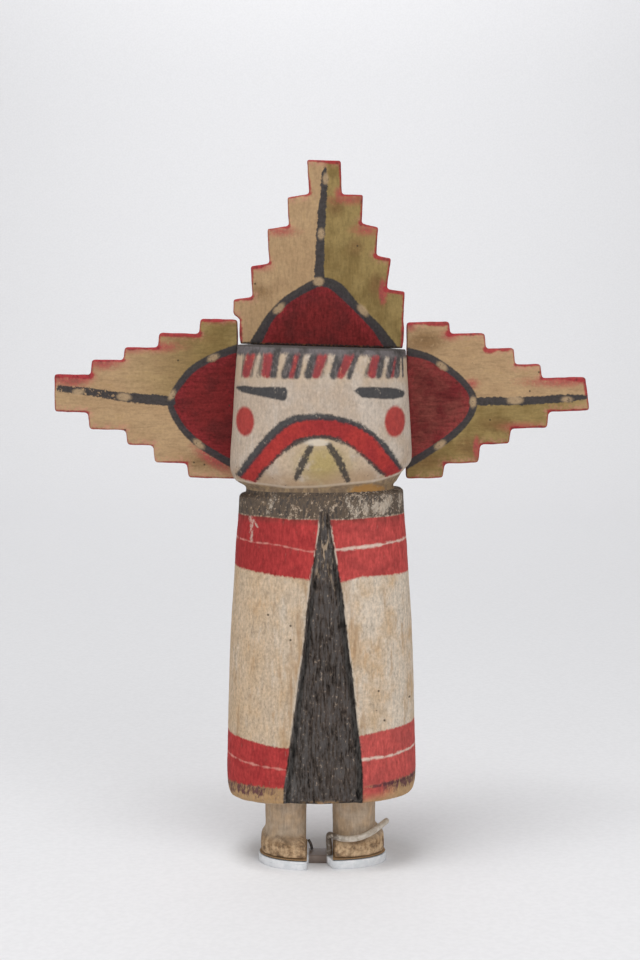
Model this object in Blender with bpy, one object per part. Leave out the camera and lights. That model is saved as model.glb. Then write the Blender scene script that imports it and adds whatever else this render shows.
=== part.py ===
"""Carved and painted kachina doll with a headdress of three stepped boards, on its small metal stand.

Metres, +Z up. The origin is under the middle of the doll, on the surface the stand rests on.
The face looks along -Y and the headdress spreads along X.
"""

import math

import bmesh
import bpy
from mathutils import Vector

# Fit between pieces that touch
GAP = 0.00025

# Stand: a flat plate with a pad under each foot, joined by a short bar
PLATE_THICKNESS = 0.0030
PAD_RIM = 0.0006
BAR_FRONT_Y = -0.0082
BAR_BACK_Y = -0.0002
FELT_THICKNESS = 0.0003
FELT_RIM = 0.0003

# Feet: each is half an oval, straight on its inner side
LEFT_FOOT_INNER = 0.0058
LEFT_FOOT_WIDTH = 0.0167
LEFT_FOOT_FRONT = 0.0151
LEFT_PAD_INNER_RIM = 0.0003
RIGHT_FOOT_INNER = 0.0042
RIGHT_FOOT_WIDTH = 0.0186
RIGHT_FOOT_FRONT = 0.0139
RIGHT_PAD_INNER_RIM = 0.0003
RIGHT_PAD_GUSSET = 0.0023
FOOT_BACK = 0.0080
TOE_HEIGHT = 0.0050
INSTEP_SLOPE = 0.19
FOOT_EDGE_ROUND = 0.0018

# Legs
LEFT_LEG_INNER = 0.0052
LEFT_LEG_WIDTH = 0.0160
RIGHT_LEG_INNER = 0.0033
RIGHT_LEG_WIDTH = 0.0166
LEG_FRONT = 0.0114
LEG_BACK = 0.0072
LEG_ANKLE_TAPER = 0.94
LEG_IN_TORSO = 0.0080

# Dress and torso, an oval log: share of its height, share of its width and depth
TORSO_FOOT_Z = 0.0253
TORSO_TOP_Z = 0.1351
TORSO_HALF_WIDTH = 0.0347
TORSO_HALF_DEPTH = 0.0213
TORSO_CENTRE_X = -0.0003
HEM_TILT = 0.018
SHOULDER_TILT = 0.034
TORSO_TAPER = (
    (0.000, 0.915),
    (0.009, 0.966),
    (0.030, 0.991),
    (0.100, 1.000),
    (0.200, 0.983),
    (0.370, 0.968),
    (0.500, 0.957),
    (0.640, 0.931),
    (0.730, 0.909),
    (0.840, 0.889),
    (0.900, 0.869),
    (0.945, 0.858),
    (1.000, 0.850),
)

# Wedge-shaped panel let into the front of the dress
PANEL_TOP_SHARE = 0.945
PANEL_TIP_HALF_WIDTH = 0.0019
PANEL_LEFT_FOOT = 0.0131
PANEL_RIGHT_FOOT = 0.0137
PANEL_LEFT_CURVE = 1.10
PANEL_RIGHT_CURVE = 0.75
PANEL_DEPTH = 0.0013
PANEL_FLANK = 0.0013
PANEL_FADE = 0.0120
PANEL_CROWN = 0.25

# Neck groove
NECK_HALF_WIDTH = 0.0264
NECK_HALF_DEPTH = 0.0166
NECK_CENTRE_X = -0.0009

# Head block: share of its height, share of its width and depth, and how far the level is cut back to the left
HEAD_FOOT_Z = 0.1380
HEAD_TOP_Z = 0.1866
HEAD_HALF_WIDTH = 0.0327
HEAD_HALF_DEPTH = 0.0203
HEAD_CENTRE_X = -0.0003
HEAD_TILT = -0.030
HEAD_FOOT_TILT = 0.020
HEAD_TAPER = (
    (0.000, 0.825, -0.0003),
    (0.014, 0.860, -0.0010),
    (0.046, 0.908, -0.0018),
    (0.092, 0.944, -0.0016),
    (0.120, 0.972, -0.0009),
    (0.170, 1.000, -0.0002),
    (0.390, 0.982, 0.0),
    (0.600, 0.960, 0.0),
    (0.850, 0.937, 0.0),
    (0.925, 0.925, 0.0),
    (0.962, 0.900, 0.0),
    (0.986, 0.862, 0.0),
    (1.000, 0.800, 0.0),
)

# Headdress boards, each cut in steps: a run away from the head, then a rise towards the middle of the board.
# The top board's are cut askew: how far its run drifts outwards, and how far its rise drifts upwards, follow.
BOARD_THICKNESS = 0.0040
BOARD_FRONT_Y = 0.0055
SIDE_BOARD_LAP = 0.0024
SIDE_BOARD_DROP = 0.0479
LEFT_BOARD_HEIGHT = 0.0576
RIGHT_BOARD_HEIGHT = 0.0566
SIDE_STEP_TILT = 0.026
SIDE_STEP_LEAN = 0.105
LEFT_UPPER_STEPS = ((0.0134, 0.0054), (0.0144, 0.0054), (0.0118, 0.0048), (0.0114, 0.0056), (0.0130, 0))
LEFT_LOWER_STEPS = ((0.0182, 0.0052), (0.0116, 0.0062), (0.0092, 0.0053), (0.0130, 0.0060), (0.0119, 0))
RIGHT_UPPER_STEPS = ((0.0154, 0.0045), (0.0123, 0.0056), (0.0099, 0.0060), (0.0091, 0.0051), (0.0157, 0))
RIGHT_LOWER_STEPS = ((0.0136, 0.0052), (0.0122, 0.0066), (0.0104, 0.0055), (0.0130, 0.0058), (0.0147, 0))
TOP_BOARD_LEFT = 0.0294
TOP_BOARD_RIGHT = 0.0289
TOP_LEFT_STEPS = (
    (0.0084, -0.0025, 0.0, 0.0020),
    (0.0053, 0.0068, 0.0, 0.0010),
    (0.0108, 0.0066, 0.0005, 0.0011),
    (0.0122, 0.0077, 0.0007, 0.0010),
    (0.0101, 0.0078, 0.0005, 0.0012),
    (0.0120, 0, 0.0008, 0),
)
TOP_RIGHT_STEPS = (
    (0.0203, 0.0064, 0.0008, 0.0009),
    (0.0109, 0.0053, 0.0014, 0.0010),
    (0.0099, 0.0059, 0.0007, 0.0015),
    (0.0100, 0.0075, 0.0004, 0.0002),
    (0.0118, 0, -0.0004, 0),
)

# Rods that rise from the plate and hold the ankles; the right one wears a clear sleeve
CLIP_RADIUS = 0.0005
SLEEVE_RADIUS = 0.00095
SLEEVE_WALL = 0.00025
SLEEVE_OVERHANG = 0.0012
RIGHT_CLIP_ROUTE = (
    (0.0027, -0.0080, 0.0000),
    (0.0026, -0.0080, 0.0030),
    (0.0023, -0.0082, 0.0062),
    (0.0028, -0.0100, 0.0081),
    (0.0052, -0.0127, 0.0080),
    (0.0088, -0.0137, 0.0077),
    (0.0128, -0.0134, 0.0080),
    (0.0170, -0.0114, 0.0090),
    (0.0204, -0.0084, 0.0103),
    (0.0236, -0.0050, 0.0118),
)
LEFT_CLIP_ROUTE = (
    (-0.0037, -0.0022, 0.0000),
    (-0.0038, -0.0022, 0.0006),
    (-0.0040, -0.0020, 0.0014),
    (-0.0044, -0.0016, 0.0023),
    (-0.0050, -0.0011, 0.0032),
)

# Section of the carved log: between an ellipse (2) and a box (more)
OVAL = 2.7

# Fineness of the facets
SIDE_COLUMNS = 8
PANEL_COLUMNS = 4
BACK_COLUMNS = 20
LEG_COLUMNS = 20
FOOT_COLUMNS = 16
ROUTE_STEPS = 4
ROD_SIDES = 10

# Places that follow: the side boards butt into the head's sides and hang below its top
SIDE_BOARD_INNER = HEAD_HALF_WIDTH - SIDE_BOARD_LAP
SIDE_BOARD_HEEL_Z = HEAD_TOP_Z - SIDE_BOARD_DROP
PLATE_TOP_Z = PLATE_THICKNESS
FELT_Z = PLATE_TOP_Z + GAP
SOLE_Z = FELT_Z + FELT_THICKNESS + GAP


def clear_scene():
    for old in list(bpy.data.objects):
        bpy.data.objects.remove(old, do_unlink=True)


def material(name, colour, roughness, metallic=0.0):
    made = bpy.data.materials.new(name)
    made.use_nodes = True
    shader = made.node_tree.nodes["Principled BSDF"]
    shader.inputs["Base Color"].default_value = (*colour, 1.0)
    shader.inputs["Roughness"].default_value = roughness
    shader.inputs["Metallic"].default_value = metallic
    return made


def new_object(name, bm, finish, smooth_under=None):
    """Object made of a finished bmesh, smooth across edges flatter than smooth_under."""
    bmesh.ops.recalc_face_normals(bm, faces=bm.faces)
    mesh = bpy.data.meshes.new(name)
    bm.to_mesh(mesh)
    bm.free()
    if finish is not None:
        mesh.materials.append(finish)
    if smooth_under is not None:
        mesh.shade_smooth()
        mesh.set_sharp_from_angle(angle=math.radians(smooth_under))
    made = bpy.data.objects.new(name, mesh)
    bpy.context.scene.collection.objects.link(made)
    return made


def helper(made):
    """Marks an object as one that only shapes another."""
    made.hide_render = True
    made.display_type = "WIRE"
    return made


def combine(target, other, operation):
    """Boolean of target with other, which then stays as a hidden helper."""
    step = target.modifiers.new(f"{operation.lower()} {other.name}", "BOOLEAN")
    step.operation = operation
    step.object = helper(other)


def loft(rings):
    """Closed bmesh through rings of equal length, capped at both ends."""
    bm = bmesh.new()
    loops = [[bm.verts.new(point) for point in ring] for ring in rings]
    count = len(loops[0])
    for low, high in zip(loops, loops[1:]):
        for i in range(count):
            j = (i + 1) % count
            bm.faces.new((low[i], low[j], high[j], high[i]))
    bm.faces.new(list(reversed(loops[0])))
    bm.faces.new(loops[-1])
    return bm


def slab(outline, offset):
    """Closed bmesh of a flat outline pushed along offset."""
    return loft([outline, [Vector(point) + Vector(offset) for point in outline]])


def power(value, exponent):
    """Signed power, which turns a circle's sine or cosine into an oval's."""
    return math.copysign(abs(value) ** exponent, value)


def front_angle(x, half_width):
    """Angle on the front of an oval where it is x to the side of its middle."""
    return 2 * math.pi - math.acos(power(x / half_width, OVAL / 2))


def spread(first, last, count):
    """Evenly spaced values from first up to, and without, last."""
    return [first + (last - first) * i / count for i in range(count)]


def oval_columns(half_width, left, right, flank):
    """Angles round an oval, with columns at a front panel's edges, and how deep the panel is let in at each.

    The depth is a share: 1 at the foot of each flank, PANEL_CROWN in the middle of the panel.
    """
    def at(x):
        return front_angle(x, half_width)

    columns = [(angle, 0.0) for angle in spread(math.pi, at(left), SIDE_COLUMNS)]
    columns.append((at(left), 0.0))
    inner = spread(left + flank, right - flank, PANEL_COLUMNS) + [right - flank]
    for index, x in enumerate(inner):
        rise = math.sin(math.pi * index / PANEL_COLUMNS)
        columns.append((at(x), 1.0 - (1.0 - PANEL_CROWN) * rise))
    columns += [(angle, 0.0) for angle in spread(at(right), 2 * math.pi, SIDE_COLUMNS)]
    columns += [(angle, 0.0) for angle in spread(0.0, math.pi, BACK_COLUMNS)]
    return columns


def oval_ring(z, centre_x, half_width, half_depth, tilt, columns, depth):
    """Points of one level of the carved log. tilt raises the level towards +X."""
    ring = []
    for angle, share in columns:
        x = half_width * power(math.cos(angle), 2 / OVAL)
        y = half_depth * power(math.sin(angle), 2 / OVAL) + share * depth
        ring.append((centre_x + x, y, z + tilt * x))
    return ring


def panel_edges(z):
    """Left and right edges of the dress panel at a height, measured from the torso's middle."""
    top = TORSO_FOOT_Z + PANEL_TOP_SHARE * (TORSO_TOP_Z - TORSO_FOOT_Z)
    drop = min(max((top - z) / (top - TORSO_FOOT_Z), 0.0), 1.0)
    left = PANEL_TIP_HALF_WIDTH + (PANEL_LEFT_FOOT - PANEL_TIP_HALF_WIDTH) * drop ** PANEL_LEFT_CURVE
    right = PANEL_TIP_HALF_WIDTH + (PANEL_RIGHT_FOOT - PANEL_TIP_HALF_WIDTH) * drop ** PANEL_RIGHT_CURVE
    return -left, right, PANEL_DEPTH * min(max((top - z) / PANEL_FADE, 0.0), 1.0)


def torso_rings():
    height = TORSO_TOP_Z - TORSO_FOOT_Z
    rings = []
    for share, taper in TORSO_TAPER:
        z = TORSO_FOOT_Z + share * height
        left, right, depth = panel_edges(z)
        half_width = TORSO_HALF_WIDTH * taper
        flank = min(PANEL_FLANK, (right - left) / 4)
        columns = oval_columns(half_width, left, right, flank)
        tilt = SHOULDER_TILT * share ** 4 + HEM_TILT * (1 - share) ** 4
        rings.append(oval_ring(z, TORSO_CENTRE_X, half_width, TORSO_HALF_DEPTH * taper, tilt, columns, depth))
    return rings


def plain_ring(z, centre_x, half_width, half_depth, tilt):
    """One level without a panel, whose columns are spread evenly."""
    columns = oval_columns(half_width, -half_width / 4, half_width / 4, half_width / 12)
    return oval_ring(z, centre_x, half_width, half_depth, tilt, columns, 0.0)


def neck_rings():
    return [
        plain_ring(TORSO_TOP_Z, NECK_CENTRE_X, NECK_HALF_WIDTH, NECK_HALF_DEPTH, SHOULDER_TILT),
        plain_ring(HEAD_FOOT_Z, NECK_CENTRE_X, NECK_HALF_WIDTH, NECK_HALF_DEPTH, HEAD_FOOT_TILT),
    ]


def head_rings():
    height = HEAD_TOP_Z - HEAD_FOOT_Z
    return [
        plain_ring(
            HEAD_FOOT_Z + share * height,
            HEAD_CENTRE_X + shift,
            HEAD_HALF_WIDTH * taper,
            HEAD_HALF_DEPTH * taper,
            HEAD_TILT * share ** 4 + HEAD_FOOT_TILT * (1 - share) ** 4,
        )
        for share, taper, shift in HEAD_TAPER
    ]


def half_oval(side, inner, width, front, back, rim=0.0, inner_rim=0.0):
    """Outline of a sole: straight along its inner side and half an oval outside, from front to back."""
    middle = (back - front) / 2
    half_length = (back + front) / 2 + rim
    start = inner - inner_rim
    points = []
    for i in range(FOOT_COLUMNS + 1):
        angle = math.pi * (i / FOOT_COLUMNS - 0.5)
        across = start + (width + rim + inner_rim) * math.cos(angle)
        points.append((side * across, middle + half_length * math.sin(angle)))
    return points


def sole(side, rim=0.0, inner_rim=0.0):
    """Outline of the left (-1) or right (+1) foot, grown by a rim."""
    if side < 0:
        return half_oval(side, LEFT_FOOT_INNER, LEFT_FOOT_WIDTH, LEFT_FOOT_FRONT, FOOT_BACK, rim, inner_rim)
    return half_oval(side, RIGHT_FOOT_INNER, RIGHT_FOOT_WIDTH, RIGHT_FOOT_FRONT, FOOT_BACK, rim, inner_rim)


def make_foot(side):
    """Foot block: low at the toe, rising towards the back, with its upper edge rounded."""
    front = LEFT_FOOT_FRONT if side < 0 else RIGHT_FOOT_FRONT

    def level(rim, lift):
        return [
            (x, y, SOLE_Z + TOE_HEIGHT + INSTEP_SLOPE * (y + front) + lift)
            for x, y in sole(side, rim, rim)
        ]

    rings = [
        [(x, y, SOLE_Z) for x, y in sole(side)],
        level(0.0, -FOOT_EDGE_ROUND / 2),
        level(-FOOT_EDGE_ROUND / 3, 0.0),
        level(-FOOT_EDGE_ROUND, FOOT_EDGE_ROUND / 2),
    ]
    return new_object(f"foot_{'left' if side < 0 else 'right'}_form", loft(rings), None)


def make_leg(side):
    """Leg column from inside the foot up into the torso."""
    inner, width = (LEFT_LEG_INNER, LEFT_LEG_WIDTH) if side < 0 else (RIGHT_LEG_INNER, RIGHT_LEG_WIDTH)
    centre_x = side * (inner + width / 2)
    centre_y = (LEG_BACK - LEG_FRONT) / 2
    half_depth = (LEG_BACK + LEG_FRONT) / 2
    rings = []
    for z, taper in (
        (SOLE_Z + TOE_HEIGHT / 2, LEG_ANKLE_TAPER),
        (SOLE_Z + TOE_HEIGHT * 2, LEG_ANKLE_TAPER),
        (TORSO_FOOT_Z + LEG_IN_TORSO, 1.0),
    ):
        rings.append([
            (
                centre_x + taper * width / 2 * power(math.cos(angle), 2 / OVAL),
                centre_y + taper * half_depth * power(math.sin(angle), 2 / OVAL),
                z,
            )
            for angle in spread(0.0, 2 * math.pi, LEG_COLUMNS)
        ])
    return new_object(f"leg_{'left' if side < 0 else 'right'}_form", loft(rings), None)


def stair(start, along, across, steps):
    """Corners of a flight of steps from start: each step runs along, then rises across.

    A step may also say how far its run drifts back and how far its rise drifts on, as hand-cut steps do.
    """
    point = Vector(start)
    corners = [point.copy()]
    for run, rise, *drift in steps:
        back, on = drift or (0, 0)
        point += Vector(along) * run - Vector(across) * back
        corners.append(point.copy())
        if rise:
            point += Vector(across) * rise + Vector(along) * on
            corners.append(point.copy())
    return corners


def side_outline(side, height, upper, lower):
    """Outline in X and Z of a side board, whose two flights of steps meet at its tip."""
    inner = side * SIDE_BOARD_INNER
    out = (side, SIDE_STEP_TILT)
    climb = stair((inner, SIDE_BOARD_HEEL_Z), out, (side * SIDE_STEP_LEAN, 1), lower)
    fall = stair((inner, SIDE_BOARD_HEEL_Z + height), out, (side * SIDE_STEP_LEAN, -1), upper)
    return climb + list(reversed(fall))


def top_outline():
    """Outline in X and Z of the top board, which stands on the tilted top of the head."""
    left_foot = (-TOP_BOARD_LEFT, HEAD_TOP_Z + GAP - HEAD_TILT * TOP_BOARD_LEFT)
    right_foot = (TOP_BOARD_RIGHT, HEAD_TOP_Z + GAP + HEAD_TILT * TOP_BOARD_RIGHT)
    left = stair(left_foot, (0, 1), (1, 0), TOP_LEFT_STEPS)
    right = stair(right_foot, (0, 1), (-1, 0), TOP_RIGHT_STEPS)
    return right + list(reversed(left))


def upright_slab(outline, front, thickness):
    """Board standing in the XZ plane."""
    return slab([(x, front, z) for x, z in outline], (0, thickness, 0))


def make_board(name, outline, finish):
    return new_object(name, upright_slab(outline, BOARD_FRONT_Y, BOARD_THICKNESS), finish)


def side_seat(side):
    """Cutter for the rebate in the side of the head where a side board butts."""
    inner = side * (SIDE_BOARD_INNER - GAP)
    outer = side * (HEAD_HALF_WIDTH + BOARD_THICKNESS)
    low, high = TORSO_TOP_Z, HEAD_TOP_Z + BOARD_THICKNESS
    outline = [(inner, low), (outer, low), (outer, high), (inner, high)]
    cutter = upright_slab(outline, BOARD_FRONT_Y - GAP, HEAD_HALF_DEPTH)
    return new_object(f"seat_{'left' if side < 0 else 'right'}_cut", cutter, None)


def make_figure(finish):
    """The carved figure, one piece from the feet to the top of the head."""
    figure = new_object("figure", loft(torso_rings() + neck_rings() + head_rings()), finish, smooth_under=35)
    for side in (-1, 1):
        combine(figure, make_leg(side), "UNION")
        combine(figure, make_foot(side), "UNION")
        combine(figure, side_seat(side), "DIFFERENCE")
    return figure


def make_plate(finish):
    """Stand plate, cut as one outline: pad, bar, pad."""
    left = sole(-1, PAD_RIM, LEFT_PAD_INNER_RIM)
    right = sole(1, PAD_RIM, RIGHT_PAD_INNER_RIM)
    left_x, right_x = left[0][0], right[0][0] - RIGHT_PAD_GUSSET
    outline = [(left_x, BAR_FRONT_Y)] + left + [(left_x, BAR_BACK_Y), (right_x, BAR_BACK_Y)]
    outline += list(reversed(right)) + [(right_x, BAR_FRONT_Y)]
    return new_object("stand_plate", slab([(x, y, 0) for x, y in outline], (0, 0, PLATE_THICKNESS)), finish)


def make_felt(side, finish):
    """Thin felt between a pad and the sole on it."""
    outline = [(x, y, FELT_Z) for x, y in sole(side, FELT_RIM, FELT_RIM)]
    name = f"felt_{'left' if side < 0 else 'right'}"
    return new_object(name, slab(outline, (0, 0, FELT_THICKNESS)), finish)


def smooth_route(route):
    """Points along a smooth curve through a rod's route, whose zero height is the top of the plate."""
    base = Vector((0, 0, PLATE_TOP_Z + GAP))
    knots = [Vector(point) + base for point in route]
    knots = [2 * knots[0] - knots[1]] + knots + [2 * knots[-1] - knots[-2]]
    points = []
    for a, b, c, d in zip(knots, knots[1:], knots[2:], knots[3:]):
        for t in spread(0.0, 1.0, ROUTE_STEPS):
            curve = 2 * b + (c - a) * t + (2 * a - 5 * b + 4 * c - d) * t * t
            points.append((curve + (3 * b - a - 3 * c + d) * t ** 3) / 2)
    return points + [knots[-2]]


def rings_along(points, radius):
    """Round rings square to a route, each turned as little as possible from the one before."""
    rings = []
    side = Vector((1, 0, 0))
    for index, point in enumerate(points):
        ahead = points[min(index + 1, len(points) - 1)] - points[max(index - 1, 0)]
        ahead.normalize()
        side = (side - ahead * side.dot(ahead)).normalized()
        up = ahead.cross(side)
        rings.append([
            point + radius * (math.cos(angle) * side + math.sin(angle) * up)
            for angle in spread(0.0, 2 * math.pi, ROD_SIDES)
        ])
    return rings


def shortened(points, length):
    """The route without its last stretch of about the given length."""
    kept = list(points)
    while length > 0 and len(kept) > 2:
        length -= (kept[-1] - kept[-2]).length
        kept.pop()
    return kept


def make_rod(name, points, finish):
    return new_object(name, loft(rings_along(points, CLIP_RADIUS)), finish, smooth_under=60)


def make_sleeve(name, points, finish):
    """Open tube round a rod."""
    bm = bmesh.new()
    shells = [
        [[bm.verts.new(point) for point in ring] for ring in rings_along(points, radius)]
        for radius in (SLEEVE_RADIUS, SLEEVE_RADIUS - SLEEVE_WALL)
    ]
    for shell in shells:
        for low, high in zip(shell, shell[1:]):
            for i in range(ROD_SIDES):
                j = (i + 1) % ROD_SIDES
                bm.faces.new((low[i], low[j], high[j], high[i]))
    for outer, inner in ((shells[0][0], shells[1][0]), (shells[0][-1], shells[1][-1])):
        for i in range(ROD_SIDES):
            j = (i + 1) % ROD_SIDES
            bm.faces.new((outer[i], outer[j], inner[j], inner[i]))
    return new_object(name, bm, finish, smooth_under=60)


def build():
    clear_scene()
    painted_wood = material("painted_wood", (0.45, 0.34, 0.24), 0.85)
    painted_board = material("painted_board", (0.36, 0.25, 0.14), 0.85)
    plate_metal = material("plate_metal", (0.60, 0.63, 0.66), 0.35, 1.0)
    felt = material("felt", (0.02, 0.02, 0.02), 0.95)
    rod_metal = material("rod_metal", (0.10, 0.09, 0.09), 0.5, 1.0)
    clear_sleeve = material("clear_sleeve", (0.55, 0.52, 0.46), 0.3)

    make_figure(painted_wood)
    make_board("tableta_top", top_outline(), painted_board)
    left = side_outline(-1, LEFT_BOARD_HEIGHT, LEFT_UPPER_STEPS, LEFT_LOWER_STEPS)
    right = side_outline(1, RIGHT_BOARD_HEIGHT, RIGHT_UPPER_STEPS, RIGHT_LOWER_STEPS)
    make_board("tableta_left", left, painted_board)
    make_board("tableta_right", right, painted_board)
    make_plate(plate_metal)
    for side in (-1, 1):
        make_felt(side, felt)
    make_rod("ankle_clip_left", smooth_route(LEFT_CLIP_ROUTE), rod_metal)
    right_route = smooth_route(RIGHT_CLIP_ROUTE)
    make_rod("ankle_clip_right", shortened(right_route, SLEEVE_OVERHANG), rod_metal)
    make_sleeve("clip_sleeve_right", right_route, clear_sleeve)


build()
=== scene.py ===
"""Looks of a carved and painted kachina doll: its worn paint, bare wood, boards, stand and studio.

Every object is in metres, +Z up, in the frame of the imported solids. Paint is laid out in millimetres
on the front of the doll, across (x) and up (z). Its outlines are kept on each mesh as distances, so that
the materials can fray, blur and wear them. Lengths in the classes are in millimetres too, but for the
studio's, which are in metres.
"""

import logging
import math
from collections.abc import Sequence
from dataclasses import dataclass, field
from enum import Enum

import bmesh
import bpy
import numpy as np
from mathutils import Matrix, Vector, noise


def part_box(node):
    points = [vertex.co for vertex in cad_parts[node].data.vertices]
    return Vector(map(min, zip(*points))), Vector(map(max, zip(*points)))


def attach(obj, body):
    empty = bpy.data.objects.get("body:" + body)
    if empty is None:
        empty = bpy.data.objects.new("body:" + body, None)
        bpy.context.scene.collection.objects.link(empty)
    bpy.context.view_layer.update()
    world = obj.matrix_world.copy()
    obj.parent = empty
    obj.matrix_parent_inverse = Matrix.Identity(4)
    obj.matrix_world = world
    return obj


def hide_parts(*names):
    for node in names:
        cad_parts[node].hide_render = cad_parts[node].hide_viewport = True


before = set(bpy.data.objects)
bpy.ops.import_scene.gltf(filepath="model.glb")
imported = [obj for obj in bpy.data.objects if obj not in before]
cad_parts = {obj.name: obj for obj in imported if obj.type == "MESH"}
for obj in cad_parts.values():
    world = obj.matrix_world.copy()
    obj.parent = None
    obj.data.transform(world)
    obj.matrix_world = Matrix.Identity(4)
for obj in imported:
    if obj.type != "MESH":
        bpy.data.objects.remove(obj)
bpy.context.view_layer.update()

MM = 0.001
WELD = 1e-3 * MM
FAR = 50.0
FRONT_END = -3.0
FRONT_FADE = 2.0
RIM_OVER = 60.0

Colour = tuple[float, float, float, float]
Line = tuple[tuple[float, ...], ...]
Socket = bpy.types.NodeSocket

log = logging.getLogger("kachina")


def srgb(red: int, green: int, blue: int) -> Colour:
    """Turns a paint as it looks on a screen, 0 to 255, into a linear colour.

    Args:
        red: Red level.
        green: Green level.
        blue: Blue level.

    Returns:
        The linear colour with full alpha.
    """
    levels = []
    for level in (red, green, blue):
        share = level / 255
        levels.append(share / 12.92 if share <= 0.04045 else ((share + 0.055) / 1.055) ** 2.4)
    return (levels[0], levels[1], levels[2], 1.0)


class Paint(Enum):
    """Earth paints, bare wood, dirt and painted shade as they look under the studio light."""

    CREAM = srgb(206, 191, 173)
    CREAM_WARM = srgb(190, 166, 138)
    CREAM_PALE = srgb(218, 206, 190)
    FACE_CREAM = srgb(191, 178, 169)
    STAIN = srgb(164, 132, 98)
    SOIL_AND_SHADE_BROWN = srgb(118, 88, 56)
    OCHRE = srgb(172, 126, 68)
    OLIVE_TINT = srgb(172, 152, 100)
    SOOT = srgb(66, 62, 60)
    BLUE_BLACK = srgb(60, 61, 64)
    BAND_GREY = srgb(104, 98, 98)
    WAIST_GREY = srgb(100, 87, 75)
    PANEL_BROWN = srgb(88, 76, 68)
    PANEL_FIBRE = srgb(134, 118, 102)
    PANEL_GREY = srgb(76, 74, 72)
    SHADE_BLACK = srgb(48, 46, 44)
    DRESS_RED = srgb(184, 66, 64)
    DRESS_RED_DEEP = srgb(152, 50, 50)
    CHEEK_RED = srgb(166, 56, 52)
    FIELD_RED = srgb(116, 38, 38)
    FIELD_RED_DARK = srgb(98, 36, 36)
    FIELD_BROWN = srgb(118, 58, 52)
    EDGE_RED = srgb(160, 50, 58)
    EDGE_RED_DARK = srgb(112, 38, 42)
    PINK = srgb(206, 134, 122)
    PURPLE = srgb(84, 52, 58)
    SMEAR_RED = srgb(186, 84, 78)
    TAN = srgb(180, 150, 114)
    TAN_DARK = srgb(168, 138, 104)
    OLIVE = srgb(150, 128, 82)
    OLIVE_DARK = srgb(126, 105, 64)
    BOARD_BLACK = srgb(62, 59, 60)
    SPOT_TAN = srgb(174, 148, 116)
    BARE_WOOD = srgb(186, 150, 108)
    LEG_GREY = srgb(176, 157, 136)
    LEG_DARK = srgb(118, 98, 78)
    NECK_BROWN = srgb(150, 126, 94)
    HAIR_RED = srgb(140, 44, 54)
    FOOT_BROWN = srgb(156, 126, 95)
    FOOT_OCHRE = srgb(194, 166, 132)
    SPECK = srgb(62, 52, 42)
    BRIDGE_FINISH_AND_SHADE = srgb(106, 84, 68)
    SLEEVE_DARK = srgb(92, 78, 66)
    SOLE_BROWN = srgb(176, 144, 108)
    PLATE_BRIGHT = srgb(236, 237, 239)
    PLATE_DULL = srgb(220, 223, 226)
    PLATE_SCRATCH = srgb(150, 154, 160)
    FELT_BLACK = srgb(34, 30, 28)
    FELT_BROWN = srgb(66, 56, 48)
    ROD_DARK = srgb(70, 66, 64)
    ROD_PALE = srgb(112, 104, 98)
    TUBE_PALE = srgb(226, 215, 200)
    TUBE_DARK = srgb(196, 181, 163)
    PAPER = srgb(228, 228, 230)
    PAPER_PALE = srgb(232, 232, 234)


Source = Socket | float | str | Paint


class Side(Enum):
    """The two sides of the doll, seen from the front."""

    LEFT = -1
    RIGHT = 1


def flowing(points: Line, steps: int = 5) -> np.ndarray:
    """Passes a smooth curve through given points.

    Args:
        points: Points of any number of values, such as x, z and a width.
        steps: Pieces between one point and the next.

    Returns:
        The denser points, one row each.
    """
    knots = np.array(points, float)
    knots = np.vstack([2 * knots[0] - knots[1], knots, 2 * knots[-1] - knots[-2]])
    dense = []
    for a, b, c, d in zip(knots, knots[1:], knots[2:], knots[3:]):
        for step in range(steps):
            t = step / steps
            bend = (2 * a - 5 * b + 4 * c - d) * t * t + (3 * b - a - 3 * c + d) * t ** 3
            dense.append((2 * b + (c - a) * t + bend) / 2)
    return np.array([*dense, knots[-2]])


def away_from(line: np.ndarray, x: np.ndarray, z: np.ndarray) -> np.ndarray:
    """Measures how far points are from a line that may have a width.

    Args:
        line: Rows of x, z and, if it has one, width.
        x: Places across.
        z: Places up.

    Returns:
        The distance to the line's edge, below 0 within its width.
    """
    near = np.full(x.shape, FAR)
    for start, end in zip(line, line[1:]):
        run, rise = end[0] - start[0], end[1] - start[1]
        t = np.clip(((x - start[0]) * run + (z - start[1]) * rise) / (run * run + rise * rise + 1e-9), 0, 1)
        gap = np.hypot(x - start[0] - t * run, z - start[1] - t * rise)
        if len(start) > 2:
            gap -= (start[2] + t * (end[2] - start[2])) / 2
        near = np.minimum(near, gap)
    return near


@dataclass(frozen=True)
class Stroke:
    """A brush line through points of x, z and width in millimetres."""

    points: Line

    def distance(self, x: np.ndarray, z: np.ndarray) -> np.ndarray:
        """Distance to the stroke's edge, below 0 inside it."""
        return away_from(flowing(self.points), x, z)


@dataclass(frozen=True)
class Patch:
    """A painted area with an outline of x and z in millimetres."""

    outline: Line
    rounded: bool = False

    def distance(self, x: np.ndarray, z: np.ndarray) -> np.ndarray:
        """Distance to the patch's edge, below 0 inside it."""
        ring = np.array([*self.outline, self.outline[0]], float)
        if self.rounded:
            ring = flowing(ring, 4)
        within = np.zeros(x.shape, bool)
        for (ax, az), (bx, bz) in zip(ring, ring[1:]):
            if az != bz:
                within ^= ((az > z) != (bz > z)) & (x < ax + (z - az) / (bz - az) * (bx - ax))
        edge = away_from(ring, x, z)
        return np.where(within, -edge, edge)


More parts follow.
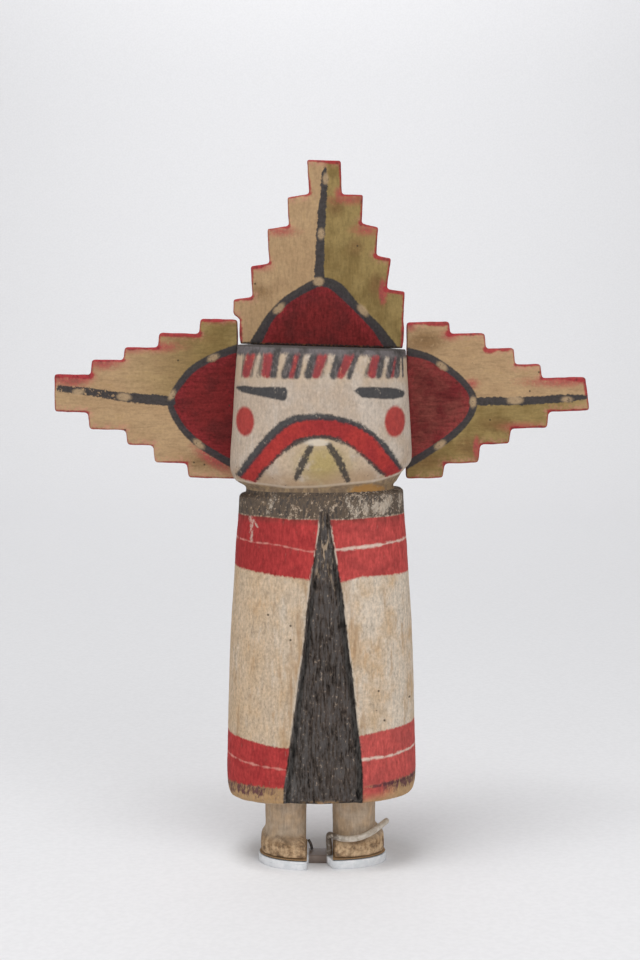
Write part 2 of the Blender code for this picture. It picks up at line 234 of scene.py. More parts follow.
@dataclass(frozen=True)
class Spot:
    """An oval dab: its middle, its length and width, and how far it is turned."""

    x: float
    z: float
    length: float
    width: float
    turn: float = 0.0

    def distance(self, x: np.ndarray, z: np.ndarray) -> np.ndarray:
        """Distance to the dab's edge, below 0 inside it."""
        angle = math.radians(self.turn)
        along = (x - self.x) * math.cos(angle) + (z - self.z) * math.sin(angle)
        across = (z - self.z) * math.cos(angle) - (x - self.x) * math.sin(angle)
        reach = np.hypot(along / (self.length / 2), across / (self.width / 2))
        return (reach - 1) * self.width / 2


@dataclass(frozen=True)
class Level:
    """A painted edge that runs round the doll: its height at places across."""

    points: Line

    def height(self, x: np.ndarray) -> np.ndarray:
        """Height of the edge at each place across."""
        across, up = zip(*self.points)
        return np.interp(x, across, up)


def nearest(shapes: Sequence[Stroke | Patch | Spot], x: np.ndarray, z: np.ndarray) -> np.ndarray:
    """Distance to the nearest of several painted shapes."""
    return np.minimum.reduce([shape.distance(x, z) for shape in shapes])


def turned_away(y: np.ndarray) -> np.ndarray:
    """Distance added to the front's shapes on the sides and back, so that they end there."""
    return np.maximum(0, y - FRONT_END) * FRONT_FADE


@dataclass(frozen=True)
class Brushwork:
    """One thing painted on the wood: where it lies, its paint, and how it frays and wears.

    Attributes:
        shape: Name of the distance kept on the mesh, below 0 inside the shape.
        paint: Its paint.
        rag: How far its edge wanders, in millimetres.
        blur: Half width of its soft edge, in millimetres.
        share: How much it covers.
        grow: How far it reaches past its outline, in millimetres.
        second: A second paint, mixed in by a noise.
        toned_by: That noise.
        tone: Where the second paint starts and is full on that noise.
        tone_share: How much the second paint covers.
        frayed_by: The noise that moves the edge.
        worn: Where it is worn off and whole on the noise of the wear, or nothing.
        grains: Noises that make it lighter and darker, each with its strength.
    """

    shape: str
    paint: Paint
    rag: float
    blur: float
    share: float = 1.0
    grow: float = 0.0
    second: Paint | None = None
    toned_by: str = "wear"
    tone: tuple[float, float] = (0.4, 0.6)
    tone_share: float = 1.0
    frayed_by: str = "fray"
    worn: tuple[float, float] | None = None
    grains: tuple[tuple[str, float], ...] = ()


class Recipe:
    """One procedural material, built up in coats on the object's own coordinates.

    A source is a node's socket, a number, a paint, an axis (X, Y or Z, in millimetres) or the name of a
    value kept on the mesh.
    """

    def __init__(self, name: str, base: Paint) -> None:
        """Starts a material of one colour.

        Args:
            name: The material's name.
            base: The colour under the coats.
        """
        self.material = bpy.data.materials.new(name)
        self.material.use_nodes = True
        self.nodes = self.material.node_tree.nodes
        self.links = self.material.node_tree.links
        self.shader = self.nodes["Principled BSDF"]
        self.place = self.nodes.new("ShaderNodeTexCoord").outputs["Object"]
        self.colour: Source = base

    def value(self, name: str) -> Socket:
        """Place along the object's X, Y or Z in millimetres, or a value kept on the mesh."""
        if name in ("X", "Y", "Z"):
            split = self.nodes.new("ShaderNodeSeparateXYZ")
            self.feed(split.inputs[0], self.place)
            return self.times(split.outputs[name], 1 / MM)
        made = self.nodes.new("ShaderNodeAttribute")
        made.attribute_name = name
        return made.outputs["Fac"]

    def feed(self, socket: Socket, source: Source) -> None:
        """Links a socket to a source, or sets it to one."""
        if isinstance(source, str):
            source = self.value(source)
        elif isinstance(source, Paint):
            source = source.value
        if isinstance(source, Socket):
            self.links.new(source, socket)
        else:
            socket.default_value = source[:3] if socket.type == "VECTOR" else source

    def math(self, operation: str, first: Source, second: Source = 0.0, clamp: bool = False) -> Socket:
        """Result of a Math node, kept from 0 to 1 if it is clamped."""
        made = self.nodes.new("ShaderNodeMath")
        made.operation = operation
        made.use_clamp = clamp
        self.feed(made.inputs[0], first)
        self.feed(made.inputs[1], second)
        return made.outputs[0]

    def plus(self, first: Source, second: Source, clamp: bool = False) -> Socket:
        """Sum of two values."""
        return self.math("ADD", first, second, clamp)

    def minus(self, first: Source, second: Source) -> Socket:
        """Difference of two values."""
        return self.math("SUBTRACT", first, second)

    def times(self, first: Source, *others: Source) -> Source:
        """Product of several values."""
        for other in others:
            first = self.math("MULTIPLY", first, other)
        return first

    def ramp(self, value: Source, low: float, high: float) -> Socket:
        """Smooth step of a value, 0 at low and 1 at high. Low may be the larger one."""
        made = self.nodes.new("ShaderNodeMapRange")
        made.interpolation_type = "SMOOTHSTEP"
        for name, source in (("Value", value), ("From Min", low), ("From Max", high)):
            self.feed(made.inputs[name], source)
        return made.outputs["Result"]

    def noise(
        self,
        size: float,
        stretch: tuple[float, float, float] = (1.0, 1.0, 1.0),
        seed: float = 0.0,
        detail: float = 3.0,
        roughness: float = 0.55,
        lean: float = 0.0,
    ) -> Socket:
        """Cloudy noise on the object's coordinates.

        Args:
            size: Size of its blobs in millimetres.
            stretch: How much longer they are along x, y and z.
            seed: Shifts the noise, so that layers differ.
            detail: Octaves.
            roughness: Weight of the finer octaves.
            lean: Degrees by which the blobs lean to the right.

        Returns:
            The noise, from 0 to 1 round 0.5.
        """
        turned = self.nodes.new("ShaderNodeVectorRotate")
        turned.rotation_type = "Y_AXIS"
        turned.inputs["Angle"].default_value = math.radians(-lean)
        self.feed(turned.inputs["Vector"], self.place)
        spread = self.nodes.new("ShaderNodeVectorMath")
        spread.operation = "MULTIPLY_ADD"
        self.feed(spread.inputs[0], turned.outputs[0])
        spread.inputs[1].default_value = [1 / (MM * size * length) for length in stretch]
        spread.inputs[2].default_value = (seed, seed * 1.7, seed * 2.3)
        made = self.nodes.new("ShaderNodeTexNoise")
        for name, source in (("Scale", 1.0), ("Detail", detail), ("Roughness", roughness)):
            made.inputs[name].default_value = source
        self.feed(made.inputs["Vector"], spread.outputs[0])
        return made.outputs["Fac"]

    def mix(self, share: Source, under: Source, over: Source) -> Socket:
        """Colour with another laid over it by a share."""
        made = self.nodes.new("ShaderNodeMix")
        made.data_type = "RGBA"
        for index, source in ((0, share), (6, under), (7, over)):
            self.feed(made.inputs[index], source)
        return made.outputs[2]

    def blend(self, under: Source, *coats: tuple[Source, ...]) -> Source:
        """Colour with coats laid over it in turn, each a paint and the shares that are multiplied."""
        for paint, *shares in coats:
            under = self.mix(self.times(*shares), under, paint)
        return under

    def coat(self, paint: Source, *shares: Source) -> None:
        """Lays a paint over the coats so far, by the product of the shares."""
        self.colour = self.blend(self.colour, (paint, *shares))

    def shade(self, colour: Source, share: Source) -> Socket:
        """Colour made lighter or darker by a factor."""
        made = self.nodes.new("ShaderNodeVectorMath")
        made.operation = "SCALE"
        self.feed(made.inputs[0], colour)
        self.feed(made.inputs["Scale"], share)
        return made.outputs[0]

    def grained(self, colour: Source, *layers: tuple[Socket, float]) -> Socket:
        """Colour made lighter and darker by noises, each with its strength."""
        tone: Source = 1.0
        for layer, strength in layers:
            tone = self.plus(tone, self.times(self.minus(layer, 0.5), strength))
        return self.shade(colour, tone)

    def grain(self, *layers: tuple[Socket, float]) -> None:
        """Makes the coats so far lighter and darker by noises, each with its strength."""
        self.colour = self.grained(self.colour, *layers)

    def blot(self, distance: Source, rag: float, blur: float, grain: Socket, grow: float = 0.0) -> Socket:
        """Mask of a painted shape with a frayed, soft edge.

        Args:
            distance: Distance to the shape's edge in millimetres, below 0 inside.
            rag: How far the edge wanders, in millimetres.
            blur: Half width of its soft edge, in millimetres.
            grain: The noise that moves it.
            grow: How far it reaches past its outline, in millimetres.

        Returns:
            The mask, 1 inside.
        """
        shift = self.times(self.minus(grain, 0.5), rag * 4)
        return self.ramp(self.plus(self.minus(distance, grow), shift), blur, -blur)

    def brush(self, work: Brushwork, noises: dict[str, Socket]) -> None:
        """Lays a brushwork over the coats so far.

        Args:
            work: What is painted.
            noises: The noises that it names, and the one of the wear.
        """
        paint: Source = work.paint
        if work.second:
            tone = self.ramp(noises[work.toned_by], *work.tone)
            paint = self.blend(paint, (work.second, tone, work.tone_share))
        if work.grains:
            paint = self.grained(paint, *[(noises[name], strength) for name, strength in work.grains])
        mask = self.blot(work.shape, work.rag, work.blur, noises[work.frayed_by], work.grow)
        left = [self.ramp(noises["wear"], *work.worn)] if work.worn else []
        self.coat(paint, mask, *left, work.share)

    def specks(self, places: Line, radius: float) -> Socket:
        """Mask of small dots at points of x and z in millimetres, on the front of the doll."""
        flat = self.nodes.new("ShaderNodeVectorMath")
        flat.operation = "MULTIPLY"
        self.feed(flat.inputs[0], self.place)
        flat.inputs[1].default_value = (1 / MM, 0, 1 / MM)
        near: Source = FAR
        for x, z in places:
            gap = self.nodes.new("ShaderNodeVectorMath")
            gap.operation = "DISTANCE"
            self.feed(gap.inputs[0], flat.outputs[0])
            gap.inputs[1].default_value = (x, 0, z)
            near = self.math("MINIMUM", near, gap.outputs["Value"])
        return self.ramp(near, radius, radius * 0.4)

    def finish(
        self, roughness: Source, relief: Source | None = None, depth: float = 0.05, specular: float = 0.12
    ) -> bpy.types.Material:
        """Wires the coats, the roughness and the relief to the shader.

        Args:
            roughness: Roughness.
            relief: Height of the fine relief, from 0 to 1, or nothing.
            depth: Depth of that relief in millimetres.
            specular: Specular level, the same all over.

        Returns:
            The finished material.
        """
        self.feed(self.shader.inputs["Base Color"], self.colour)
        self.feed(self.shader.inputs["Roughness"], roughness)
        self.shader.inputs["Specular IOR Level"].default_value = specular
        if relief is not None:
            bump = self.nodes.new("ShaderNodeBump")
            bump.inputs["Strength"].default_value = 1.0
            bump.inputs["Distance"].default_value = depth * MM
            self.feed(bump.inputs["Height"], relief)
            self.feed(self.shader.inputs["Normal"], bump.outputs["Normal"])
        return self.material


@dataclass
class Skin:
    """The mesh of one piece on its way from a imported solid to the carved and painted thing."""

    name: str
    source: str
    bm: bmesh.types.BMesh = field(init=False)
    body: bpy.types.Object = field(init=False)

    def __post_init__(self) -> None:
        """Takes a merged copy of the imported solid."""
        self.bm = bmesh.new()
        self.bm.from_mesh(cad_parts[self.source].data)
        bmesh.ops.remove_doubles(self.bm, verts=self.bm.verts, dist=WELD)
        bmesh.ops.dissolve_degenerate(self.bm, edges=self.bm.edges, dist=WELD)
        bmesh.ops.recalc_face_normals(self.bm, faces=self.bm.faces)

    def join_faces(self, across: float, shape: float) -> None:
        """Joins triangles into quads, up to angles in degrees between the faces and in their shape."""
        bmesh.ops.join_triangles(
            self.bm,
            faces=self.bm.faces,
            angle_face_threshold=math.radians(across),
            angle_shape_threshold=math.radians(shape),
        )

    def bevel(self, edges: list[bmesh.types.BMEdge], offset: float, segments: int) -> None:
        """Rounds edges by an offset in millimetres."""
        bmesh.ops.bevel(
            self.bm,
            geom=edges,
            offset=offset * MM,
            offset_type="OFFSET",
            segments=segments,
            profile=0.5,
            affect="EDGES",
            clamp_overlap=True,
            material=-1,
        )

    def crease(self, over: float) -> None:
        """Keeps the edges that are sharper than an angle in degrees from being rounded away."""
        layers = self.bm.edges.layers.float
        keep = layers.get("crease_edge") or layers.new("crease_edge")
        for edge in self.bm.edges:
            if len(edge.link_faces) == 2 and edge.calc_face_angle() > math.radians(over):
                edge[keep] = 0.75

    def to_object(self) -> None:
        """Puts the mesh on a new object and frees the bmesh."""
        mesh = bpy.data.meshes.new(self.name)
        self.bm.to_mesh(mesh)
        self.bm.free()
        self.body = bpy.data.objects.new(self.name, mesh)
        bpy.context.scene.collection.objects.link(self.body)

    def remesh(self, voxel: float, levels: int = 0) -> None:
        """Turns the solid into an even skin that can be carved and painted.

        Args:
            voxel: Size of its cells in millimetres.
            levels: How many times the solid is subdivided and rounded first.
        """
        self.to_object()
        if levels:
            soften = self.body.modifiers.new("soften", "SUBSURF")
            soften.levels = soften.render_levels = levels
        skin = self.body.modifiers.new("skin", "REMESH")
        skin.mode = "VOXEL"
        skin.voxel_size = voxel * MM
        graph = bpy.context.evaluated_depsgraph_get()
        even = bpy.data.meshes.new_from_object(self.body.evaluated_get(graph))
        self.body.modifiers.clear()
        self.body.data = even

    def smooth(self, times: int) -> None:
        """Evens out the skin's cells."""
        bm = bmesh.new()
        bm.from_mesh(self.body.data)
        for _ in range(times):
            bmesh.ops.smooth_vert(
                bm, verts=bm.verts, factor=0.5, use_axis_x=True, use_axis_y=True, use_axis_z=True
            )
        bm.to_mesh(self.body.data)
        bm.free()

    def points(self) -> np.ndarray:
        """Points of the skin in millimetres, one row each."""
        flat = np.empty(len(self.body.data.vertices) * 3)
        self.body.data.vertices.foreach_get("co", flat)
        return flat.reshape(-1, 3) / MM

    def normals(self) -> np.ndarray:
        """Normals of the skin's points."""
        flat = np.empty(len(self.body.data.vertices) * 3)
        self.body.data.vertices.foreach_get("normal", flat)
        return flat.reshape(-1, 3)

    def move_to(self, points: np.ndarray) -> None:
        """Moves the skin's points, in millimetres, and keeps them in the solid's box."""
        low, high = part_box(self.source)
        kept = np.clip(points * MM, np.array(low), np.array(high))
        self.body.data.vertices.foreach_set("co", kept.ravel())
        self.body.data.update()

    def keep(self, name: str, values: np.ndarray) -> None:
        """Keeps a value for each point on the mesh, for the material."""
        layer = self.body.data.attributes.new(name, "FLOAT", "POINT")
        layer.data.foreach_set("value", values.astype(np.float32))

    def dress(self, *materials: bpy.types.Material) -> None:
        """Gives the piece its materials and smooth shading."""
        for material in materials:
            self.body.data.materials.append(material)
        self.body.data.shade_smooth()

    def place(self, slot: str) -> bpy.types.Object:
        """Puts the piece in place of its solid.

        Args:
            slot: The record's material slot; not used.

        Returns:
            The finished object.
        """
        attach(self.body, "root")
        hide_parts(self.source)
        low, high = self.points().min(axis=0), self.points().max(axis=0)
        size = " x ".join(f"{length:.1f}" for length in high - low)
        log.info("%s: %d faces, %s mm", self.name, len(self.body.data.polygons), size)
        return self.body


def join_flat(bm: bmesh.types.BMesh) -> None:
    """Joins the faces of each flat side into one."""
    bmesh.ops.dissolve_limit(bm, angle_limit=math.radians(1), verts=bm.verts, edges=bm.edges)


def is_rim(edge: bmesh.types.BMEdge) -> bool:
    """Whether an edge is a sharp rim between two sides."""
    return edge.calc_face_angle(0) > math.radians(RIM_OVER)


def carve_noise(points: np.ndarray, cell: tuple[float, float, float], seed: float) -> np.ndarray:
    """Gentle unevenness of a hand-carved surface.

    Args:
        points: Points in millimetres.
        cell: Size of the waves along x, y and z in millimetres.
        seed: Shifts the waves.

    Returns:
        A value from about -1 to 1 for each point.
    """
    scaled = points / np.array(cell) + seed
    return np.array([noise.noise(Vector(place)) for place in scaled])


@dataclass(frozen=True)
class HairBar:
    """One slanted bar of the fringe: from and to across, at its top and at its foot."""

    top: tuple[float, float]
    foot: tuple[float, float]

    def stroke(self, top_z: float, foot_z: float) -> Stroke:
        """The bar as a brush stroke between two heights, with a round foot."""
        top_width = self.top[1] - self.top[0]
        foot_width = self.foot[1] - self.foot[0]
        return Stroke((
            (sum(self.top) / 2, top_z, top_width),
            (sum(self.foot) / 2, foot_z + foot_width / 2, foot_width),
        ))


@dataclass(frozen=True)
class FacePaint:
    """The painted face and fringe, in millimetres across and up.

    The plain bars of the fringe lie in groups from fringe_start round the head. The sides of the head begin
    at the depth side_start, the back at back_depth, and the back's middle is back_reach and back_start away.
    """

    fringe_top: float = 185.0
    fringe_foot: float = 176.3
    fringe_start: float = 41.0
    fringe_pitch: float = 9.6
    fringe_groups: int = 6
    fringe_slant: float = 2.6
    side_start: float = -11.0
    back_depth: float = 12.0
    back_reach: float = 52.0
    back_start: float = 28.0
    cap_edge: Level = Level((
        (-29, 184.3), (-20.9, 184.8), (-11.1, 184.9), (-0.8, 184.6), (9.6, 184.4), (20, 184.0), (28, 183.3),
    ))
    red_bars: tuple[HairBar, ...] = (
        HairBar((-26.0, -23.1), (-27.8, -25.3)),
        HairBar((-20.0, -16.5), (-20.8, -17.7)),
        HairBar((-9.5, -7.3), (-11.8, -9.5)),
        HairBar((-1.7, 1.9), (-3.8, -0.7)),
        HairBar((7.5, 11.8), (4.9, 7.6)),
        HairBar((17.7, 20.6), (16.0, 18.7)),
        HairBar((25.3, 26.4), (23.6, 25.0)),
    )
    black_bars: tuple[HairBar, ...] = (
        HairBar((-16.5, -14.9), (-17.7, -16.1)),
        HairBar((-11.3, -9.7), (-13.9, -11.8)),
        HairBar((-7.3, -6.4), (-9.4, -8.2)),
        HairBar((-3.5, -1.7), (-5.9, -3.8)),
        HairBar((5.2, 7.5), (2.9, 4.9)),
        HairBar((11.8, 12.8), (8.7, 9.7)),
        HairBar((20.5, 21.9), (18.9, 20.3)),
        HairBar((24.1, 25.3), (22.4, 23.8)),
        HairBar((26.4, 27.6), (25.3, 26.7)),
        HairBar((29.2, 30.3), (28.9, 29.9)),
    )
    faint_bars: tuple[HairBar, ...] = (
        HairBar((-27.4, -26.1), (-28.9, -27.9)),
        HairBar((-23.1, -22.3), (-25.2, -24.4)),
        HairBar((-21.2, -20.0), (-22.6, -21.2)),
        HairBar((1.9, 2.5), (-0.7, 0.3)),
        HairBar((16.6, 17.8), (14.5, 16.0)),
    )
    eyes: tuple[Patch, ...] = (
        Patch((
            (-30.5, 172.4), (-29.7, 173.1), (-27.0, 173.5), (-23.4, 173.0), (-15.5, 173.3), (-12.8, 173.1),
            (-12.0, 172.3), (-12.2, 169.7), (-13.0, 168.3), (-16.4, 169.0), (-20.8, 169.8), (-28.3, 171.1),
        )),
        Patch((
            (10.9, 171.9), (12.8, 173.1), (17.1, 173.2), (22.4, 172.9), (25.9, 172.5), (28.7, 171.4),
            (29.2, 170.3), (28.2, 169.3), (24.6, 168.8), (21.5, 168.9), (17.1, 169.3), (13.7, 169.5),
        )),
    )
    cheeks: tuple[Spot, ...] = (
        Spot(-27.0, 161.0, 10.2, 6.6, 90),
        Spot(25.4, 161.0, 10.8, 7.4, 90),
    )
    lip_top: Line = (
        (-30.3, 142.1), (-27.0, 146.9), (-20.8, 155.0), (-15.1, 160.7), (-10.4, 163.1), (-6.1, 163.7),
        (-0.1, 164.0), (4.2, 163.3), (9.4, 162.0), (13.7, 160.3),
        (18.0, 157.2), (22.4, 153.2), (28.2, 144.3),
    )
    red_top: Line = (
        (-28.4, 141.4), (-25.2, 145.7), (-20.8, 151.1), (-16.4, 155.9), (-13.0, 159.0), (-9.5, 160.9),
        (-5.7, 161.8), (-0.1, 162.0), (4.2, 161.8), (9.4, 160.5),
        (13.7, 158.5), (18.0, 155.5), (27.5, 143.6),
    )
    red_foot: Line = (
        (-23.5, 140.2), (-20.8, 144.1), (-17.3, 147.7), (-13.4, 151.7), (-9.5, 154.7), (-6.1, 156.0),
        (-1.8, 156.7), (2.1, 156.5), (5.9, 155.6), (9.8, 153.4),
        (13.7, 150.4), (17.2, 147.3), (22.6, 142.0),
    )
    lip_foot: Line = (
        (-22.2, 140.9), (-18.2, 146.0), (-14.3, 149.9), (-9.5, 153.0), (-6.1, 154.3), (-1.8, 155.4),
        (2.1, 155.4), (6.8, 153.9), (11.1, 151.7), (14.6, 148.6), (18.1, 145.0), (21.2, 142.3),
    )
    rays: tuple[Stroke, ...] = (
        Stroke(((-3.9, 152.8, 1.6), (-6.1, 148.3, 2.1), (-7.8, 144.8, 2.0), (-9.0, 141.5, 1.2))),
        Stroke(((2.3, 153.2, 1.8), (5.1, 149.1, 2.1), (7.2, 144.8, 2.0), (8.8, 141.0, 1.5))),
    )
    tooth: Spot = Spot(-1.6, 154.1, 8.4, 2.4)
    chin_tint: Spot = Spot(0.4, 146.5, 16, 13)
    neck_patch: Spot = Spot(15.8, 137.0, 11.5, 4.0)
    jaw: Level = Level((
        (-28.5, 139.8), (-22.7, 139.3), (-12.2, 138.1), (-1.8, 138.4),
        (9.5, 139.5), (18.2, 140.2), (28.3, 142.4),
    ))

    def around(self, points: np.ndarray) -> np.ndarray:
        """Place across the face, carried on round the sides and the back of the head."""
        x, y = points[:, 0], points[:, 1]
        side = np.abs(x) + np.maximum(0, y - self.side_start)
        back = self.back_reach + np.maximum(0, self.back_start - np.abs(x))
        return np.sign(x) * np.where(y > self.back_depth, back, side)

    def fringe_round(self, bars: tuple[HairBar, ...], shift: float, width: float) -> list[Stroke]:
        """The front's own bars and plainer ones of one kind on the sides and back.

        Args:
            bars: The bars on the front.
            shift: Where a plain bar lies within its group, across.
            width: Its width.

        Returns:
            All the bars as brush strokes.
        """
        strokes = [bar.stroke(self.fringe_top, self.fringe_foot) for bar in bars]
        for side in Side:
            for group in range(self.fringe_groups):
                start = side.value * (self.fringe_start + group * self.fringe_pitch) + shift
                foot = start - self.fringe_slant
                plain = HairBar((start, start + width), (foot, foot + width))
                strokes.append(plain.stroke(self.fringe_top, self.fringe_foot))
        return strokes

    def lay_on(self, skin: Skin, points: np.ndarray) -> None:
        """Keeps the distances to the face's shapes on the figure's skin.

        Args:
            skin: The figure's skin.
            points: Its points in millimetres.
        """
        x, y, z = points.T
        round_x = self.around(points)
        for name, bars, shift, width in (
            ("hair_red", self.red_bars, 0.0, 3.1),
            ("hair_black", self.black_bars, 3.1, 1.7),
            ("hair_faint", self.faint_bars, -1.2, 1.1),
        ):
            skin.keep(name, nearest(self.fringe_round(bars, shift, width), round_x, z))
        for name, shapes in (
            ("eyes", self.eyes),
            ("cheeks", self.cheeks),
            ("lip_outer", [Patch(self.lip_top + self.red_top[::-1])]),
            ("lip_red", [Patch(self.red_top + self.red_foot[::-1])]),
            ("lip_inner", [Patch(self.red_foot + self.lip_foot[::-1])]),
            ("rays", self.rays),
            ("tooth", [self.tooth]),
            ("chin", [self.chin_tint]),
            ("neck_patch", [self.neck_patch]),
        ):
            skin.keep(name, nearest(shapes, x, z) + turned_away(y))
        skin.keep("cap", self.cap_edge.height(x) - z)
        skin.keep("jaw", z - self.jaw.height(x))


FACE_BRUSHWORK = (
    Brushwork("neck_patch", Paint.OCHRE, 0.5, 0.6, share=0.8),
    Brushwork("hair_faint", Paint.SOOT, 0.3, 0.6, share=0.75, frayed_by="hairs", worn=(0.3, 0.52)),
    Brushwork(
        "hair_red", Paint.CHEEK_RED, 0.24, 0.6, share=0.92, grow=0.25, second=Paint.HAIR_RED,
        tone=(0.32, 0.54), worn=(0.2, 0.42), grains=(("hairs", 1.0), ("fray", 0.4)),
    ),
    Brushwork(
        "hair_black", Paint.BLUE_BLACK, 0.3, 0.55, share=0.92, grow=0.4, second=Paint.BAND_GREY,
        tone=(0.46, 0.66), worn=(0.16, 0.36), grains=(("hairs", 1.0),),
    ),
    Brushwork(
        "cap", Paint.BAND_GREY, 0.6, 0.8, grow=0.3, second=Paint.SOOT, toned_by="clouds",
        tone=(0.46, 0.7), frayed_by="hairs", grains=(("hairs", 1.0), ("fray", 0.6)),
    ),
    # Painted shade: a dark line along the head's top, where the top board stands on it.
    Brushwork("brink", Paint.SOOT, 0.0, 0.3, share=0.7, grow=0.4),
    Brushwork(
        "eyes", Paint.BLUE_BLACK, 0.14, 0.4, share=0.95, second=Paint.CREAM,
        tone=(0.56, 0.7), tone_share=0.35, grains=(("fray", 0.8), ("hairs", 0.4)),
    ),
    Brushwork(
        "cheeks", Paint.CHEEK_RED, 0.12, 0.5, share=0.95, second=Paint.DRESS_RED_DEEP,
        tone=(0.44, 0.7), grains=(("fray", 0.6), ("threads", 0.4)),
    ),
    Brushwork(
        "lip_red", Paint.CHEEK_RED, 0.3, 0.4, grow=0.6, second=Paint.DRESS_RED_DEEP, toned_by="clouds",
        tone=(0.36, 0.64), grains=(("fray", 0.9), ("threads", 0.5)),
    ),
    Brushwork(
        "lip_outer", Paint.BLUE_BLACK, 0.4, 0.5, share=0.94, grow=0.15, worn=(0.2, 0.4),
        grains=(("fray", 0.9),),
    ),
    Brushwork(
        "lip_inner", Paint.SOOT, 0.45, 0.5, share=0.92, grow=0.15, worn=(0.2, 0.42),
        grains=(("fray", 0.9),),
    ),
    Brushwork("rays", Paint.SOOT, 0.5, 0.45, share=0.92, grow=0.2, worn=(0.2, 0.4), grains=(("fray", 0.9),)),
    Brushwork("tooth", Paint.CREAM_PALE, 0.3, 0.4, share=0.7),
)


@dataclass(frozen=True)
class DressPaint:
    """The painted dress, in millimetres across and up.

    Behind the depth front_reach the levels pass into straight ones, over the depth level_fade.
    """

    front_reach: float = -4.0
    level_fade: float = 12.0
    waist_foot: Level = Level((
        (-29.2, 127.7), (-21.1, 127.9), (-11.2, 127.2), (-1.5, 127.1),
        (7.9, 127.1), (16.7, 127.6), (28.7, 127.9),
    ))
    upper_line: Level = Level((
        (-29.9, 119.3), (-24.3, 118.6), (-15.1, 118.0), (-4.3, 115.7),
        (4.8, 116.3), (13.5, 117.2), (29.9, 119.0),
    ))
    upper_foot: Level = Level((
        (-30.9, 109.2), (-21.8, 108.0), (-14.0, 107.0), (-7.1, 106.2),
        (6.2, 104.9), (13.6, 106.9), (30.7, 107.0),
    ))
    lower_top: Level = Level((
        (-33.6, 49.1), (-24.9, 47.8), (-17.3, 46.4), (-12.4, 46.0),
        (13.8, 50.6), (22.2, 52.0), (33.1, 53.2),
    ))
    lower_line: Level = Level((
        (-33.5, 41.1), (-27.4, 39.9), (-19.9, 39.0), (-12.8, 38.4),
        (14.0, 42.0), (22.2, 42.4), (33.1, 44.0),
    ))
    lower_foot: Level = Level((
        (-34.0, 30.6), (-24.9, 31.2), (-13.8, 30.7), (14.1, 31.0), (17.3, 31.9), (24.1, 32.7), (32.7, 33.6),
    ))
    panel: Patch = Patch((
        (-1.0, 131.2), (-1.2, 124.0), (-2.1, 117.7), (-4.1, 107.0),
        (-5.4, 97.2), (-7.0, 80.0), (-8.7, 69.9),
        (-9.9, 59.9), (-11.2, 49.4), (-12.4, 40.0), (-13.6, 31.8),
        (-13.8, 24.0), (14.4, 24.0), (14.5, 35.5),
        (13.8, 44.7), (12.6, 55.0), (11.2, 69.9), (9.7, 80.0), (7.5, 99.4), (6.1, 107.1), (4.8, 114.2),
        (3.4, 122.8), (2.3, 131.2),
    ))
    leg_specks: Line = ((-11.4, 23.8), (-10.7, 24.6), (-9.9, 23.2), (-9.4, 24.3))
    specks: Line = ((-19.0, 93.3), (-11.1, 89.7), (-11.1, 84.7), (19.9, 66.2), (31.2, 62.2), (22.0, 55.5))
    scratches: tuple[Stroke, ...] = (
        Stroke(((-25.2, 127.4, 0.5), (-24.8, 124.0, 0.7), (-24.9, 119.0, 0.5))),
        Stroke(((-24.6, 127.0, 0.3), (-23.4, 125.2, 0.5), (-22.8, 123.9, 0.3))),
    )
    flecks: tuple[Spot, ...] = (
        Spot(18.6, 131.3, 4.0, 2.2, 80),
        Spot(21.4, 131.0, 5.0, 3.0, 60),
        Spot(23.0, 132.6, 4.0, 1.6, 75),
        Spot(15.2, 130.2, 4.6, 1.4, 95),
        Spot(9.7, 131.6, 3.2, 0.8, 110),
        Spot(12.0, 129.0, 2.2, 0.6, 80),
        Spot(-17.9, 132.3, 3.2, 1.1, 70),
        Spot(27.6, 133.4, 3.6, 0.8, 90),
    )
    ledges: tuple[Stroke, ...] = (
        Stroke((
            (-16.5, 11.2, 0.6), (-14.5, 10.4, 1.0), (-11.7, 9.0, 0.7), (-8.5, 8.5, 0.5), (-6.1, 8.4, 0.4),
        )),
        Stroke(((7.6, 8.9, 0.4), (10.0, 8.7, 0.7), (14.0, 9.0, 0.5))),
    )

    def lay_on(self, skin: Skin, points: np.ndarray) -> None:
        """Keeps the distances to the dress's shapes on the figure's skin.

        Args:
            skin: The figure's skin.
            points: Its points in millimetres.
        """
        x, y, z = points.T
        behind = np.clip((y - self.front_reach) / self.level_fade, 0, 1)
        for name in ("waist_foot", "upper_line", "upper_foot", "lower_top", "lower_line", "lower_foot"):
            level: Level = getattr(self, name)
            ends = Level((level.points[0], level.points[-1]))
            skin.keep(name, z - level.height(x) * (1 - behind) - ends.height(x) * behind)
        for name, shapes in (
            ("panel", [self.panel]),
            ("scratches", self.scratches),
            ("flecks", self.flecks),
            ("ledges", self.ledges),
        ):
            skin.keep(name, nearest(shapes, x, z) + turned_away(y))


